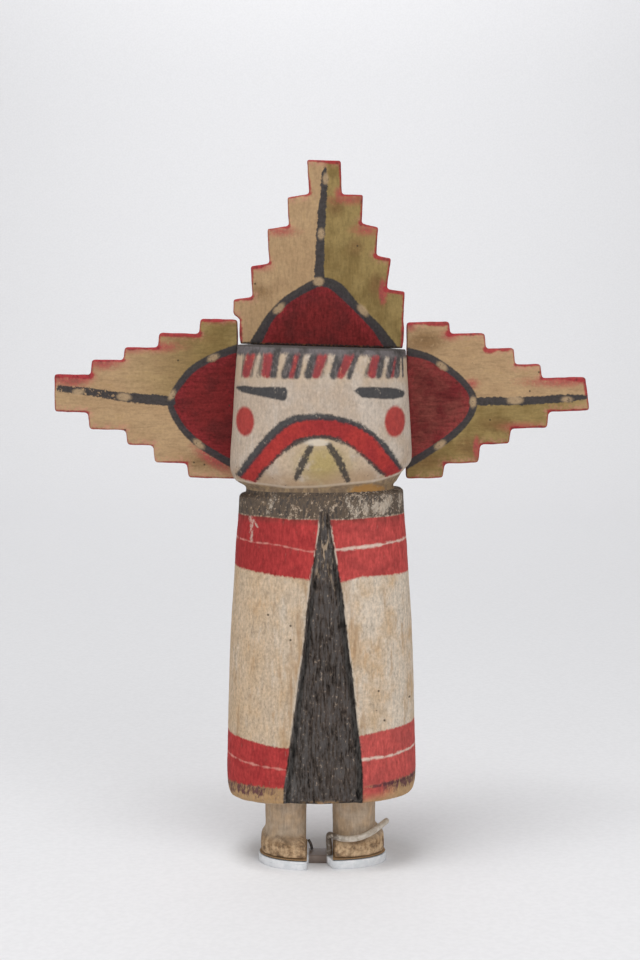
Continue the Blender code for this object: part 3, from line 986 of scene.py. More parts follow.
@dataclass
class Figure:
    """The carved figure from its feet to the top of its head, one piece of painted wood.

    Attributes:
        voxel: Size of the skin's cells.
        crease_over: Edges sharper than this many degrees stay sharp.
        knife_cell: Size of the knife's waves along x, y and z.
        knife_depth: Their depth.
        chip_cell: Size of the fine chips.
        chip_depth: Their depth.
        neck_z: Height at which the head's paint starts.
        hem_z: Height at which the bare legs end.
        head_top: Height of the flat top over the middle.
        head_tilt: Rise of the top for each millimetre to the right.
        top_rounding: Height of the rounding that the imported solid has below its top.
        top_widening: Share of that height and how much wider the head's front is there.
        front_of: Depth behind which the head isn't widened, where the side boards butt.
        widening_fade: Depth over which the widening fades.
        flat_from: Upward share of a normal at which the top starts to be levelled.
        flat_fade: Share over which the levelling sets in.
        flat_within: Height below the top within which points are levelled.
    """

    voxel: float = 0.66
    crease_over: float = 35.0
    knife_cell: tuple[float, float, float] = (7.0, 7.0, 22.0)
    knife_depth: float = 0.16
    chip_cell: tuple[float, float, float] = (2.2, 2.2, 3.0)
    chip_depth: float = 0.07
    neck_z: float = 136.5
    hem_z: float = 25.6
    head_top: float = 186.6
    head_tilt: float = -0.03
    top_rounding: float = 7.3
    top_widening: Line = ((0.0, 1.0), (0.5, 1.008), (0.75, 1.03), (0.9, 1.06), (1.0, 1.085))
    front_of: float = 4.5
    widening_fade: float = 2.0
    flat_from: float = 0.45
    flat_fade: float = 0.4
    flat_within: float = 1.5
    face: FacePaint = FacePaint()
    dress: DressPaint = DressPaint()

    def carve(self) -> Skin:
        """Turns the solid into a carved skin with knife marks.

        Returns:
            The skin with its points in place.
        """
        skin = Skin("carved_figure", "figure")
        skin.join_faces(30, 50)
        skin.crease(self.crease_over)
        skin.remesh(self.voxel, levels=2)
        skin.smooth(2)
        points, normals = skin.points(), skin.normals()
        knife = carve_noise(points, self.knife_cell, 3.0) * self.knife_depth
        chips = carve_noise(points, self.chip_cell, 11.0) * self.chip_depth
        points += normals * (knife + chips - self.knife_depth / 3)[:, None]
        top = self.head_top + self.head_tilt * points[:, 0]
        share = 1 - (top - points[:, 2]) / self.top_rounding
        in_front = np.clip((self.front_of - points[:, 1]) / self.widening_fade, 0, 1)
        points[:, 0] *= 1 + (np.interp(share, *zip(*self.top_widening)) - 1) * in_front
        top = self.head_top + self.head_tilt * points[:, 0]
        upward = np.clip((normals[:, 2] - self.flat_from) / self.flat_fade, 0, 1)
        points[:, 2] += upward * (points[:, 2] > top - self.flat_within) * (top - points[:, 2])
        skin.move_to(points)
        return skin

    def build(self) -> None:
        """Carves and paints the figure."""
        skin = self.carve()
        points = skin.points()
        self.face.lay_on(skin, points)
        self.dress.lay_on(skin, points)
        # Distance below the head's top, for the painted shade line under the top board.
        skin.keep("brink", self.head_top + self.head_tilt * points[:, 0] - points[:, 2])
        skin.dress(self.head_paint(), self.dress_paint(), self.leg_paint())
        centres = np.empty(len(skin.body.data.polygons) * 3)
        skin.body.data.polygons.foreach_get("center", centres)
        height = centres.reshape(-1, 3)[:, 2] / MM
        index = np.where(height > self.neck_z, 0, np.where(height > self.hem_z, 1, 2))
        skin.body.data.polygons.foreach_set("material_index", index.astype(np.int32))
        skin.place("figure_paint")

    def worn_cream(self, mix: Recipe, seed: float, stained: float) -> Socket:
        """Lays chalky cream paint with wood grain and dirt showing through.

        Args:
            mix: The material being made.
            seed: Shifts its noises.
            stained: How strong its brown streaks are.

        Returns:
            The fine upright grain.
        """
        clouds = mix.noise(8, (1, 1, 1.5), seed, detail=4)
        threads = mix.noise(0.85, (1, 1, 5), seed + 2, roughness=0.6)
        streaks = mix.noise(1.8, (1, 1, 7), seed + 3)
        crumbs = mix.noise(0.9, (1, 1, 1.4), seed + 4, roughness=0.7)
        mix.coat(Paint.CREAM_WARM, mix.ramp(clouds, 0.38, 0.68))
        # Warmer and darker towards the left.
        mix.coat(Paint.CREAM_WARM, mix.ramp("X", 8.0, -26.0), 0.75)
        mix.coat(Paint.CREAM_PALE, mix.ramp(streaks, 0.5, 0.36), mix.ramp(clouds, 0.54, 0.4), 0.4)
        mix.coat(Paint.STAIN, mix.ramp(clouds, 0.54, 0.7), mix.ramp(streaks, 0.44, 0.62), 0.55 * stained)
        mix.coat(Paint.STAIN, mix.ramp(threads, 0.56, 0.72), 0.4 * stained)
        mix.grain((threads, 0.8), (streaks, 0.3 * stained), (crumbs, 1.2), (clouds, 0.4 * stained))
        return threads

    def head_paint(self) -> bpy.types.Material:
        """Paint of the head: cap, fringe, eyes, cheeks, mouth, worn cream, and painted shade at its top, jaw
        and neck.
        """
        mix = Recipe("painted_head", Paint.CREAM)
        noises = {
            "threads": self.worn_cream(mix, 5.0, stained=0.25),
            "fray": mix.noise(1.1, seed=9, roughness=0.65),
            "wear": mix.noise(1.9, (1, 1, 1.5), seed=13, roughness=0.6),
            "hairs": mix.noise(0.8, (1, 1, 4), seed=17, roughness=0.65),
            "clouds": mix.noise(6, seed=21),
        }
        fray, wear, clouds = noises["fray"], noises["wear"], noises["clouds"]
        mix.colour = mix.shade(mix.colour, 0.86)
        mix.coat(Paint.FACE_CREAM, 0.4)
        mix.grain((fray, 0.4))
        warm = mix.grained(Paint.CREAM_WARM, (fray, 0.8))
        mix.coat(warm, mix.ramp("chin", 9.5, 4.0), mix.ramp(clouds, 0.2, 0.5), 0.65)
        olive = mix.grained(Paint.OLIVE_TINT, (fray, 0.6))
        mix.coat(olive, mix.blot("chin", 1.0, 4.5, clouds), mix.ramp(clouds, 0.22, 0.46), 0.9)
        mix.coat(Paint.CREAM_WARM, mix.ramp("cap", 13, 6), mix.ramp(clouds, 0.32, 0.56), 0.6)
        # Painted shade along the bottom of the face, where it turns under towards the neck.
        mix.coat(Paint.STAIN, mix.ramp("jaw", 7.0, 1.5), mix.ramp(clouds, 0.26, 0.56), 0.55)
        dots = mix.ramp(mix.noise(1.2, seed=23, detail=2), 0.68, 0.74)
        mix.coat(Paint.SPECK, dots, mix.ramp("jaw", 16.0, 4.0), 0.5)
        # Painted highlight on the rounded lower edge of the face.
        mix.coat(Paint.CREAM_PALE, mix.ramp("jaw", 0.8, 0.2), 0.3)
        # The neck under the head is brown: its own colour, darkened further as painted shade under the head.
        neck = mix.blend(Paint.NECK_BROWN, (Paint.LEG_DARK, mix.ramp(wear, 0.36, 0.6)))
        mix.coat(mix.grained(neck, (fray, 1.0)), mix.ramp("jaw", 0.1, -0.7), 0.9)
        for work in FACE_BRUSHWORK:
            mix.brush(work, noises)
        relief = mix.plus(mix.times(noises["threads"], 0.8), mix.times(fray, 0.4))
        return mix.finish(mix.plus(mix.times(wear, 0.2), 0.7), relief, depth=0.09)

    def lay_bands(self, mix: Recipe, fray: Socket) -> None:
        """Lays the two red bands with their pale lines over the dress, with painted shade and light across
        them.

        Args:
            mix: The material being made.
            fray: The noise that frays their edges.
        """
        mottle = mix.noise(4.5, (1.4, 1, 1), seed=43, detail=4)
        threads = mix.noise(0.9, (1, 1, 4), seed=44, roughness=0.6)
        wear = mix.noise(1.6, (1.8, 1, 1), seed=45)
        right = mix.ramp("X", -6.0, 14.0)
        up = mix.ramp("Z", 60.0, 105.0)
        # The red is darker towards the left and pinker towards the right: painted shade and painted light
        # across the front.
        red = mix.blend(
            Paint.DRESS_RED,
            (Paint.DRESS_RED_DEEP, mix.ramp(mottle, 0.42, 0.66)),
            (Paint.DRESS_RED_DEEP, mix.ramp("X", 4.0, -24.0), mix.plus(mix.times(up, 0.45), 0.35)),
            (Paint.PINK, right, mix.minus(0.19, mix.times(up, 0.09))),
            (Paint.PINK, mix.ramp(threads, 0.36, 0.24), 0.35),
            (Paint.FIELD_BROWN, mix.ramp("waist_foot", -3.0, -0.4), mix.ramp(mottle, 0.34, 0.56), 0.6),
        )
        red = mix.grained(red, (threads, 1.1), (fray, 0.7), (mottle, 0.5))
        half = mix.plus(mix.times(right, mix.ramp("X", 34.0, 8.0), 0.34), 0.16)
        half = mix.plus(half, mix.times(right, 0.12))
        pale = mix.blend(Paint.PINK, (Paint.CREAM_PALE, mix.plus(mix.times(right, 0.75), 0.1)))
        pale = mix.grained(pale, (fray, 0.6))
        for top, line, foot in (
            ("waist_foot", "upper_line", "upper_foot"),
            ("lower_top", "lower_line", "lower_foot"),
        ):
            below = mix.blot(top, 0.35, 0.4, fray)
            above = mix.blot(mix.times(foot, -1.0), 0.4, 0.5, fray)
            band = mix.times(below, above)
            mix.coat(red, band)
            gap = mix.minus(mix.math("ABSOLUTE", line), half)
            mix.coat(pale, mix.blot(gap, 0.45, 0.45, wear), band, mix.ramp(wear, 0.74, 0.54), 0.88)

    def lay_waist(self, mix: Recipe, fray: Socket) -> None:
        """Lays the dark waist with its pale flecks over the dress.

        Args:
            mix: The material being made.
            fray: The noise that frays its edge.
        """
        threads = mix.noise(0.8, (1, 1, 4), seed=53, roughness=0.65)
        chips = mix.noise(1.1, (1, 1, 1.5), seed=54, detail=4, roughness=0.7, lean=20)
        groups = mix.noise(6.0, (1.2, 1, 1), seed=55)
        waist = mix.blot(mix.times("waist_foot", -1.0), 0.4, 0.45, fray)
        dark = mix.blend(
            Paint.WAIST_GREY,
            (Paint.SOOT, mix.ramp(threads, 0.42, 0.68)),
            (Paint.STAIN, mix.ramp(chips, 0.52, 0.66), 0.45),
        )
        mix.coat(mix.grained(dark, (threads, 0.8), (fray, 0.6)), waist)
        busy = mix.times(mix.ramp("X", 4.0, 12.0), mix.ramp("X", 29.0, 24.0))
        bare = mix.plus(chips, mix.plus(mix.times(busy, 0.07), mix.times(groups, 0.22)))
        drawn = mix.blot("flecks", 1.7, 0.5, chips)
        fleck = mix.math("MAXIMUM", mix.ramp(bare, 0.67, 0.82), drawn)
        mix.coat(mix.grained(Paint.CREAM, (fray, 1.2)), fleck, waist, 0.62)

    def lay_panel(self, mix: Recipe, fray: Socket) -> None:
        """Lays the worn black panel down the front over the dress, with painted shade in its edge grooves.

        Args:
            mix: The material being made.
            fray: The noise that frays its edges.
        """
        inside = mix.times("panel", -1.0)
        off_axis = mix.math("ABSOLUTE", "X")
        fibres = mix.noise(0.85, (1, 1, 6), seed=57, detail=4, roughness=0.65)
        wear = mix.noise(1.3, (1, 1, 3.5), seed=59, detail=4, roughness=0.65)
        clouds = mix.noise(7, (1, 1, 2), seed=58)
        # Masks of the painted shade in the grooves inside the panel's left and right edges.
        left = mix.times(mix.ramp("X", 0.5, -0.8), mix.ramp("Z", 112.0, 96.0))
        right = mix.times(mix.ramp("X", 0.5, 2.0), mix.ramp("Z", 122.0, 108.0))
        black = mix.blend(
            Paint.PANEL_BROWN,
            (Paint.SOOT, mix.ramp(fibres, 0.36, 0.6)),
            (Paint.PANEL_FIBRE, mix.ramp(fray, 0.6, 0.72), 0.7),
            (
                Paint.PANEL_GREY,
                mix.ramp("X", 2.0, -8.0),
                mix.ramp("Z", 80.0, 50.0),
                mix.ramp(clouds, 0.36, 0.6),
                0.4,
            ),
            (Paint.SHADE_BLACK, left, mix.ramp(inside, 0.7, 1.1), mix.ramp(inside, 3.0, 2.0), 0.8),
            (Paint.SHADE_BLACK, right, mix.ramp(inside, 2.8, 1.6), 0.8),
        )
        fibre_tone = mix.ramp(fibres, 0.36, 0.64)
        black = mix.grained(black, (fibre_tone, 1.3), (wear, 1.0), (clouds, 1.0), (fray, 1.4))
        high = mix.times(mix.ramp("Z", 100.0, 113.0), mix.ramp(inside, 0.9, 1.9))
        low = mix.times(mix.ramp("lower_foot", -3.4, -5.4), mix.ramp(off_axis, 9.0, 3.0))
        black = mix.blend(
            black,
            (Paint.CREAM_WARM, mix.ramp(wear, 0.5, 0.62), high, 0.6),
            (Paint.BARE_WOOD, low, mix.ramp(wear, 0.44, 0.54), 0.8),
        )
        mix.coat(black, mix.blot("panel", 0.2, 0.36, fray), mix.ramp("Z", 131.0, 128.6))
        arris = mix.ramp(mix.math("ABSOLUTE", "panel"), 0.5, 0.1)
        shown = mix.times(mix.ramp("Z", 44.0, 62.0), mix.ramp("Z", 128.0, 126.0))
        mix.coat(Paint.CREAM, arris, mix.ramp(wear, 0.42, 0.54), shown, 0.7)

    def lay_hem(self, mix: Recipe, fray: Socket) -> None:
        """Lays the bare, smeared hem over the dress.

        Args:
            mix: The material being made.
            fray: The noise that frays its edge.
        """
        hairs = mix.noise(1.0, (1, 1, 3.0), seed=61, detail=4, roughness=0.7, lean=10)
        blots = mix.noise(3.4, (1.6, 1, 1), seed=63)
        below = mix.value("lower_foot")
        flush = mix.times(mix.ramp("X", -2.0, 8.0), mix.ramp("X", 28.0, 20.0), mix.ramp(below, -6.5, -1.5))
        depth = mix.plus(mix.times(blots, 5.0), mix.times(hairs, 9.0))
        smear = mix.ramp(mix.plus(depth, below), 3.4, 5.6)
        outer = mix.plus(mix.ramp("X", -13.5, -20.0), mix.ramp("X", 17.0, 25.0))
        streaks = mix.plus(mix.times(mix.ramp(hairs, 0.42, 0.56), 0.6), 0.4)
        brink = mix.ramp(mix.math("ABSOLUTE", below), 1.0, 0.3)
        wood = mix.blend(
            Paint.BARE_WOOD,
            (Paint.TAN_DARK, mix.ramp(hairs, 0.36, 0.6)),
            (Paint.SMEAR_RED, flush, mix.ramp(blots, 0.3, 0.46)),
            (mix.grained(Paint.PURPLE, (hairs, 1.4)), smear, outer, streaks, 0.9),
            (Paint.PURPLE, brink, mix.ramp("X", 13.0, 19.0), mix.ramp(hairs, 0.36, 0.5), 0.8),
        )
        wood = mix.grained(wood, (hairs, 0.8), (fray, 0.8))
        mix.coat(wood, mix.blot(below, 0.7, 0.6, fray, grow=0.7))

    def dress_paint(self) -> bpy.types.Material:
        """Paint of the dress: waist, red bands with their pale lines, black panel and bare hem."""
        mix = Recipe("painted_dress", Paint.CREAM)
        threads = self.worn_cream(mix, 31.0, stained=1.0)
        fray = mix.noise(0.9, (1, 1, 1.6), seed=35, roughness=0.6)
        long_clouds = mix.noise(2.6, (1, 1, 9), seed=49)
        clouds = mix.noise(8, seed=47)
        mix.coat(Paint.STAIN, mix.ramp("panel", 5.0, 0.4), mix.ramp(long_clouds, 0.42, 0.62), 0.7)
        mix.coat(Paint.STAIN, mix.ramp(long_clouds, 0.54, 0.7), mix.ramp(clouds, 0.42, 0.6), 0.6)
        mix.coat(Paint.SPECK, mix.specks(self.dress.specks, 0.55), 0.85)
        mix.coat(Paint.SPECK, mix.ramp(mix.noise(0.8, seed=51, detail=1), 0.76, 0.82), 0.6)
        self.lay_bands(mix, fray)
        mix.coat(Paint.CREAM_PALE, mix.blot("scratches", 0.6, 0.45, fray), 0.6)
        self.lay_waist(mix, fray)
        self.lay_hem(mix, fray)
        self.lay_panel(mix, fray)
        relief = mix.plus(mix.times(threads, 0.8), mix.times(fray, 0.4))
        return mix.finish(mix.plus(mix.times(clouds, 0.2), 0.7), relief, depth=0.08)

    def leg_paint(self) -> bpy.types.Material:
        """Thin grey-tan paint over bare wood on the legs, browner and stained on the feet."""
        mix = Recipe("bare_legs", Paint.LEG_GREY)
        threads = mix.noise(0.8, (1, 1, 5), seed=61, roughness=0.6)
        clouds = mix.noise(4.5, (1, 1, 1.4), seed=65, detail=4)
        stains = mix.noise(2.0, (1.2, 1, 1.1), seed=67, detail=4, roughness=0.62)
        rise = mix.plus("Z", mix.times(clouds, 4.0))
        # The feet are browner towards the bottom, below the toes' top edges.
        foot = mix.blend(
            Paint.FOOT_BROWN,
            (Paint.FOOT_OCHRE, mix.ramp(stains, 0.4, 0.62)),
            (Paint.LEG_DARK, mix.ramp(stains, 0.46, 0.34), 0.9),
            (Paint.SOIL_AND_SHADE_BROWN, mix.ramp(rise, 8.5, 11.5), mix.ramp(clouds, 0.4, 0.6), 0.5),
        )
        mix.coat(Paint.TAN_DARK, mix.ramp(clouds, 0.4, 0.66), 0.5)
        mix.coat(foot, mix.ramp(rise, 13.5, 10.5), 0.95)
        mix.coat(Paint.LEG_DARK, mix.blot("ledges", 0.2, 0.5, stains), 0.7)
        mix.grain((threads, 0.8), (stains, 0.8), (clouds, 0.4))
        mix.coat(Paint.SPECK, mix.specks(self.dress.leg_specks, 0.5), 0.7)
        return mix.finish(0.8, mix.plus(threads, mix.times(clouds, 0.5)), depth=0.08)


@dataclass(frozen=True)
class BoardArt:
    """What is painted on a headdress board, in millimetres across and up."""

    lines: tuple[Stroke, ...]
    arcs: tuple[Stroke, ...]
    red_field: Patch
    spots: tuple[Spot, ...]
    divide: Line
    olive_above: bool
    grain: tuple[float, float, float]
    smears: tuple[Spot, ...]
    stains: tuple[Spot, ...]
    border: tuple[float, float]
    specks: Line
    line_wear: float = 0.24
    field_paint: Paint = Paint.FIELD_RED
    olive_reach: tuple[float, float] = (400.0, 200.0)


LEFT_ART = BoardArt(
    lines=(Stroke((
        (-94.6, 171.6, 2.2), (-87.9, 170.8, 2.7), (-80, 169.8, 3.0), (-71.4, 168.5, 3.3), (-62, 167.6, 3.6),
        (-54.6, 167.0, 3.6),
    )),),
    arcs=(
        Stroke((
            (-54.9, 167.0, 1.4), (-53.4, 170.2, 2.1), (-51.0, 173.6, 2.4), (-47.0, 178.2, 2.5),
            (-40.9, 182.0, 2.6), (-34.0, 184.8, 2.8), (-29.0, 186.4, 2.9),
        )),
        Stroke((
            (-54.9, 167.0, 1.4), (-54.2, 163.8, 2.3), (-50.8, 157.7, 2.4), (-45.6, 152.3, 2.5),
            (-39.0, 147.9, 2.6), (-33.4, 144.7, 2.8), (-29.0, 142.6, 2.9),
        )),
    ),
    red_field=Patch((
        (-54.9, 167.0), (-53.4, 170.2), (-51.0, 173.6), (-47.0, 178.2), (-40.9, 182.0), (-29.0, 186.4),
        (-29.0, 142.6), (-33.4, 144.7), (-39.0, 147.9), (-45.6, 152.3), (-50.8, 157.7), (-54.2, 163.8),
    )),
    spots=(
        Spot(-87.9, 170.3, 4.0, 2.2, 0),
        Spot(-71.4, 168.5, 5.0, 2.8, -5),
        Spot(-54.1, 169.2, 4.0, 2.0, 62),
        Spot(-39.2, 182.6, 4.4, 2.4, 25),
        Spot(-44.6, 151.5, 4.8, 2.4, -42),
    ),
    divide=((-100, 171.4), (-80, 169.7), (-62, 167.6), (-54.6, 167.0), (-20, 167.0)),
    olive_above=True,
    grain=(5, 1, 1),
    smears=(
        Spot(-90.0, 176.0, 15, 8), Spot(-79.0, 181.0, 11, 5),
        Spot(-58.0, 186.5, 12, 3), Spot(-39.5, 146.2, 15, 5, -35),
        Spot(-36.5, 197.0, 14, 3), Spot(-68.0, 185.6, 7, 2),
    ),
    stains=(Spot(-46.0, 189.5, 9, 3), Spot(-34.0, 146.5, 11, 8), Spot(-42.0, 145.0, 16, 5)),
    border=(1.2, 0.6),
    specks=((-33.4, 165.4), (-51.8, 181.6), (-46.4, 144.8), (-42.6, 144.0), (-71.2, 156.6)),
    line_wear=0.36,
    olive_reach=(84.0, 46.0),
)

RIGHT_ART = BoardArt(
    lines=(Stroke((
        (54.4, 166.9, 2.9), (69.5, 167.0, 2.9), (82.1, 167.6, 2.9), (90, 168.1, 2.6), (95.1, 168.5, 1.3),
    )),),
    arcs=(Stroke((
        (29.0, 185.1, 3.0), (36.9, 183.3, 2.6), (42.2, 180.6, 2.5), (48.7, 175.9, 2.4), (53.0, 171.2, 2.3),
        (54.4, 168.0, 2.6), (54.4, 164.5, 2.6), (51.9, 159.6, 2.4), (46.2, 154.0, 2.6), (37.5, 148.0, 2.6),
        (32.6, 145.0, 2.8), (29.0, 143.0, 2.9),
    )),),
    red_field=Patch((
        (29.0, 185.1), (36.9, 183.3), (42.2, 180.6), (48.7, 175.9),
        (53.0, 171.2), (54.4, 168.0), (54.4, 164.5),
        (51.9, 159.6), (46.2, 154.0), (37.5, 148.0), (32.6, 145.0), (29.0, 143.0),
    )),
    spots=(
        Spot(43.1, 179.6, 4.4, 2.3, -35),
        Spot(54.4, 166.7, 4.0, 2.4, 90),
        Spot(69.5, 167.3, 5.8, 2.9, 0),
        Spot(88.2, 167.6, 4.0, 2.0, 0),
        Spot(42.6, 151.2, 4.6, 2.4, 36),
    ),
    divide=((20, 166.9), (54.4, 166.9), (69.5, 167.0), (82.1, 167.6), (100, 168.6)),
    olive_above=False,
    grain=(5, 1, 1),
    smears=(
        Spot(53.9, 173.3, 4, 3), Spot(55.8, 150.0, 2.4, 8), Spot(72.0, 157.6, 10, 2.6),
        Spot(45.9, 190.7, 5, 3), Spot(31.6, 193.8, 3, 3),
        Spot(85.5, 173.9, 21, 3.0), Spot(92.0, 162.5, 8, 2),
    ),
    stains=(
        Spot(37.0, 188.5, 13, 7), Spot(53.0, 150.5, 10, 7), Spot(37.0, 145.0, 16, 6), Spot(63.0, 158.5, 9, 4),
    ),
    border=(1.5, 0.9),
    specks=((78.0, 177.4), (74.8, 170.6), (60.6, 160.2)),
    field_paint=Paint.FIELD_BROWN,
    olive_reach=(110.0, 92.0),
)

TOP_ART = BoardArt(
    lines=(Stroke((
        (1.0, 250.6, 0.3), (1.0, 249.2, 1.2), (0.8, 247.2, 2.0), (0.4, 240.0, 2.5), (-0.1, 233.3, 2.9),
        (-0.8, 220.9, 3.1), (-1.1, 211.0, 3.6),
    )),),
    arcs=(
        Stroke((
            (-0.6, 209.8, 3.2), (-4.0, 208.4, 3.0), (-9.0, 205.6, 2.8),
            (-13.7, 202.4, 2.8), (-18.9, 196.7, 3.0),
            (-22.4, 190.6, 3.6), (-24.6, 186.6, 4.2),
        )),
        Stroke((
            (-0.6, 209.8, 3.2), (3.0, 209.0, 3.6), (6.5, 206.7, 3.9),
            (12.2, 200.7, 2.9), (18.9, 194.0, 3.3),
            (22.4, 189.4, 3.8), (24.8, 186.0, 4.4),
        )),
    ),
    red_field=Patch((
        (-0.6, 209.8), (-4.0, 208.4), (-13.7, 202.4), (-18.9, 196.7), (-24.6, 186.6), (-24.6, 180.0),
        (24.8, 180.0), (24.8, 186.0), (18.9, 194.0), (12.2, 200.7), (6.5, 206.7),
    )),
    spots=(
        Spot(1.3, 246.0, 4.0, 2.2, 90),
        Spot(-0.4, 226.6, 3.9, 2.5, 88),
        Spot(-1.3, 209.8, 3.8, 3.2, 0),
        Spot(-15.5, 200.2, 5.0, 2.6, 44),
        Spot(14.6, 199.5, 5.0, 2.6, -46),
    ),
    divide=((1.2, 256), (0.4, 240), (-0.8, 220.9), (-1.1, 209.8), (-1.1, 180)),
    olive_above=False,
    grain=(1, 1, 5),
    smears=(
        Spot(-14.8, 227.5, 9, 2.6), Spot(16.0, 228.0, 8, 3),
        Spot(21.8, 206.0, 3, 9), Spot(9.5, 238.6, 9, 2.6),
        Spot(6.2, 241.0, 3, 4), Spot(-22.0, 215.0, 5, 2),
    ),
    stains=(
        Spot(4.5, 236.5, 5, 6), Spot(19.5, 208.5, 5, 8), Spot(-22.0, 206.0, 7, 4), Spot(12.0, 222.0, 5, 5),
    ),
    border=(1.1, 1.1),
    specks=((-24.0, 209.0), (12.6, 222.4)),
)


@dataclass
class HeaddressBoard:
    """One stepped board of the headdress, sawn from thin wood and painted on its front.

    Attributes:
        node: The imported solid.
        art: What is painted on it.
        corner_round: Radius of the corners of its outline.
        voxel: Size of the skin's cells.
        edge_round: Width of its broken edges.
        saw_cell: Size of the saw's waves along x, y and z.
        saw_depth: Their depth.
        foot_level: Height of the head's top over the middle, where an upright board stands.
        foot_tilt: Rise of that top for each millimetre to the right.
        foot_reach: Height over the head up to which the foot is drawn down to it.
        foot_sink: How far the foot goes below that height.
        foot_draw: How far a point is drawn down at most.
        side_swell: How far an upright board's sides stand out above its foot.
        swell_from: Place across from which the sides stand out.
        swell_over: Width over which that sets in.
        swell_height: Height over the head at which they stand out most.
        swell_fade: Height over which that fades.
        painted_depth: Depth behind the front up to which its drawing reaches.
        depth_fade: Distance added for each millimetre behind that.
        upright: Whether it stands on the head, with its grain up.
    """

    node: str
    art: BoardArt
    corner_round: float
    voxel: float = 0.42
    edge_round: float = 0.35
    saw_cell: tuple[float, float, float] = (4.0, 9.0, 4.0)
    saw_depth: float = 0.16
    foot_level: float = 186.85
    foot_tilt: float = -0.03
    foot_reach: float = 1.4
    foot_sink: float = 0.15
    foot_draw: float = 0.6
    side_swell: float = 0.35
    swell_from: float = 26.0
    swell_over: float = 2.0
    swell_height: float = 5.0
    swell_fade: float = 2.5
    painted_depth: float = 1.2
    depth_fade: float = 8.0
    upright: bool = False

    def saw(self) -> Skin:
        """Turns the solid into a skin with worn corners.

        Returns:
            The skin with its points in place.
        """
        skin = Skin(f"painted_{self.node}", self.node)
        join_flat(skin.bm)
        through = [edge for edge in skin.bm.edges if abs((edge.verts[0].co - edge.verts[1].co).y) > MM]
        skin.bevel(through, self.corner_round, segments=3)
        skin.bevel([edge for edge in skin.bm.edges if is_rim(edge)], self.edge_round, segments=2)
        skin.remesh(self.voxel)
        skin.smooth(2)
        points = skin.points()
        uneven = carve_noise(points, self.saw_cell, 17.0) * self.saw_depth - self.saw_depth / 2
        points += skin.normals() * uneven[:, None]
        if self.upright:
            above = self.over_head(points)
            low = np.clip(self.foot_reach - above, 0, 1)
            points[:, 2] -= low * np.minimum(above + self.foot_sink, self.foot_draw)
            beside = np.clip((np.abs(points[:, 0]) - self.swell_from) / self.swell_over, 0, 1)
            beside *= np.clip(2 - np.abs(above - self.swell_height) / self.swell_fade, 0, 1)
            points[:, 0] += np.sign(points[:, 0]) * beside * self.side_swell
        skin.move_to(points)
        return skin

    def over_head(self, points: np.ndarray) -> np.ndarray:
        """Height of points over the head's tilted top, in millimetres."""
        return points[:, 2] - self.foot_level - self.foot_tilt * points[:, 0]

    def outline(self) -> tuple[list[np.ndarray], list[np.ndarray]]:
        """Finds the board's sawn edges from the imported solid.

        Returns:
            The treads, which run away from the head, and the risers, as pairs of points in millimetres.
        """
        bm = bmesh.new()
        bm.from_mesh(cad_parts[self.node].data)
        bmesh.ops.remove_doubles(bm, verts=bm.verts, dist=WELD)
        join_flat(bm)
        low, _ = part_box(self.node)
        front = low.y / MM + 0.1
        longest = max((edge.calc_length() for edge in bm.edges), default=0.0)
        treads, risers = [], []
        for edge in bm.edges:
            a, b = (vert.co / MM for vert in edge.verts)
            if max(a.y, b.y) > front or edge.calc_length() > 0.99 * longest:
                continue
            pair = np.array(((a.x, a.z), (b.x, b.z)))
            flat = abs(a.x - b.x) > abs(a.z - b.z)
            (treads if flat else risers).append(pair)
        bm.free()
        return treads, risers

    def paint_on(self, skin: Skin) -> None:
        """Keeps the distances to the board's painted shapes on its skin.

        Args:
            skin: The board's skin.
        """
        points = skin.points()
        x, y, z = points.T
        low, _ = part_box(self.node)
        behind = np.maximum(0, y - low.y / MM - self.painted_depth) * self.depth_fade
        art = self.art
        for name, shapes in (
            ("line", art.lines),
            ("arc", art.arcs),
            ("field", [art.red_field]),
            ("spots", art.spots),
            ("smears", art.smears),
            ("stains", art.stains),
        ):
            skin.keep(name, nearest(shapes, x, z) + behind)
        across, up = zip(*art.divide)
        if self.upright:
            skin.keep("foot", self.over_head(points))
            skin.keep("olive", x - np.interp(z, up[::-1], across[::-1]))
            skin.keep("border", np.full(x.shape, art.border[0]))
        else:
            above = z - np.interp(x, across, up)
            skin.keep("olive", above * (1 if art.olive_above else -1))
            skin.keep("border", np.where(above > 0, *art.border))
        for name, edges in zip(("tread", "riser"), self.outline()):
            skin.keep(name, np.minimum.reduce([away_from(pair, x, z) for pair in edges]))
        skin.keep("rim", 1 - np.abs(skin.normals()[:, 1]))

    def paint(self) -> bpy.types.Material:
        """Thin matt paint over bare wood: grounds, stains, red edges, the drawing, its wear and a painted
        shade line at the head.
        """
        mix = Recipe(f"{self.node}_paint", Paint.TAN)
        seed = 71.0 + len(self.node) * 3.0
        grain = mix.noise(0.85, self.art.grain, seed, roughness=0.65)
        fray = mix.noise(1.0, seed=seed + 2, detail=4, roughness=0.65)
        flake = mix.noise(1.4, seed=seed + 4, detail=4, roughness=0.65)
        clouds = mix.noise(9, seed=seed + 6, detail=4)
        patches = mix.noise(9, seed=seed + 10)
        off_axis = mix.math("ABSOLUTE", "X")

        mix.coat(Paint.TAN_DARK, mix.ramp(clouds, 0.36, 0.64))
        olive = mix.blend(Paint.OLIVE, (Paint.OLIVE_DARK, mix.ramp(clouds, 0.38, 0.62)))
        reach = mix.ramp(mix.plus(off_axis, mix.times(clouds, 16.0)), *self.art.olive_reach)
        mix.coat(olive, mix.blot(mix.times("olive", -1.0), 0.8, 1.2, clouds), reach)
        mix.coat(Paint.OLIVE_DARK, mix.ramp(grain, 0.56, 0.7), 0.3)
        mix.coat(Paint.SOIL_AND_SHADE_BROWN, mix.blot("stains", 1.2, 2.2, flake), mix.ramp(flake, 0.2, 0.5), 0.7)
        mix.grain((grain, 0.8), (fray, 0.55), (clouds, 0.3))
        mix.coat(Paint.LEG_DARK, mix.ramp(mix.noise(1.3, seed=seed + 8, detail=1), 0.77, 0.83), 0.6)

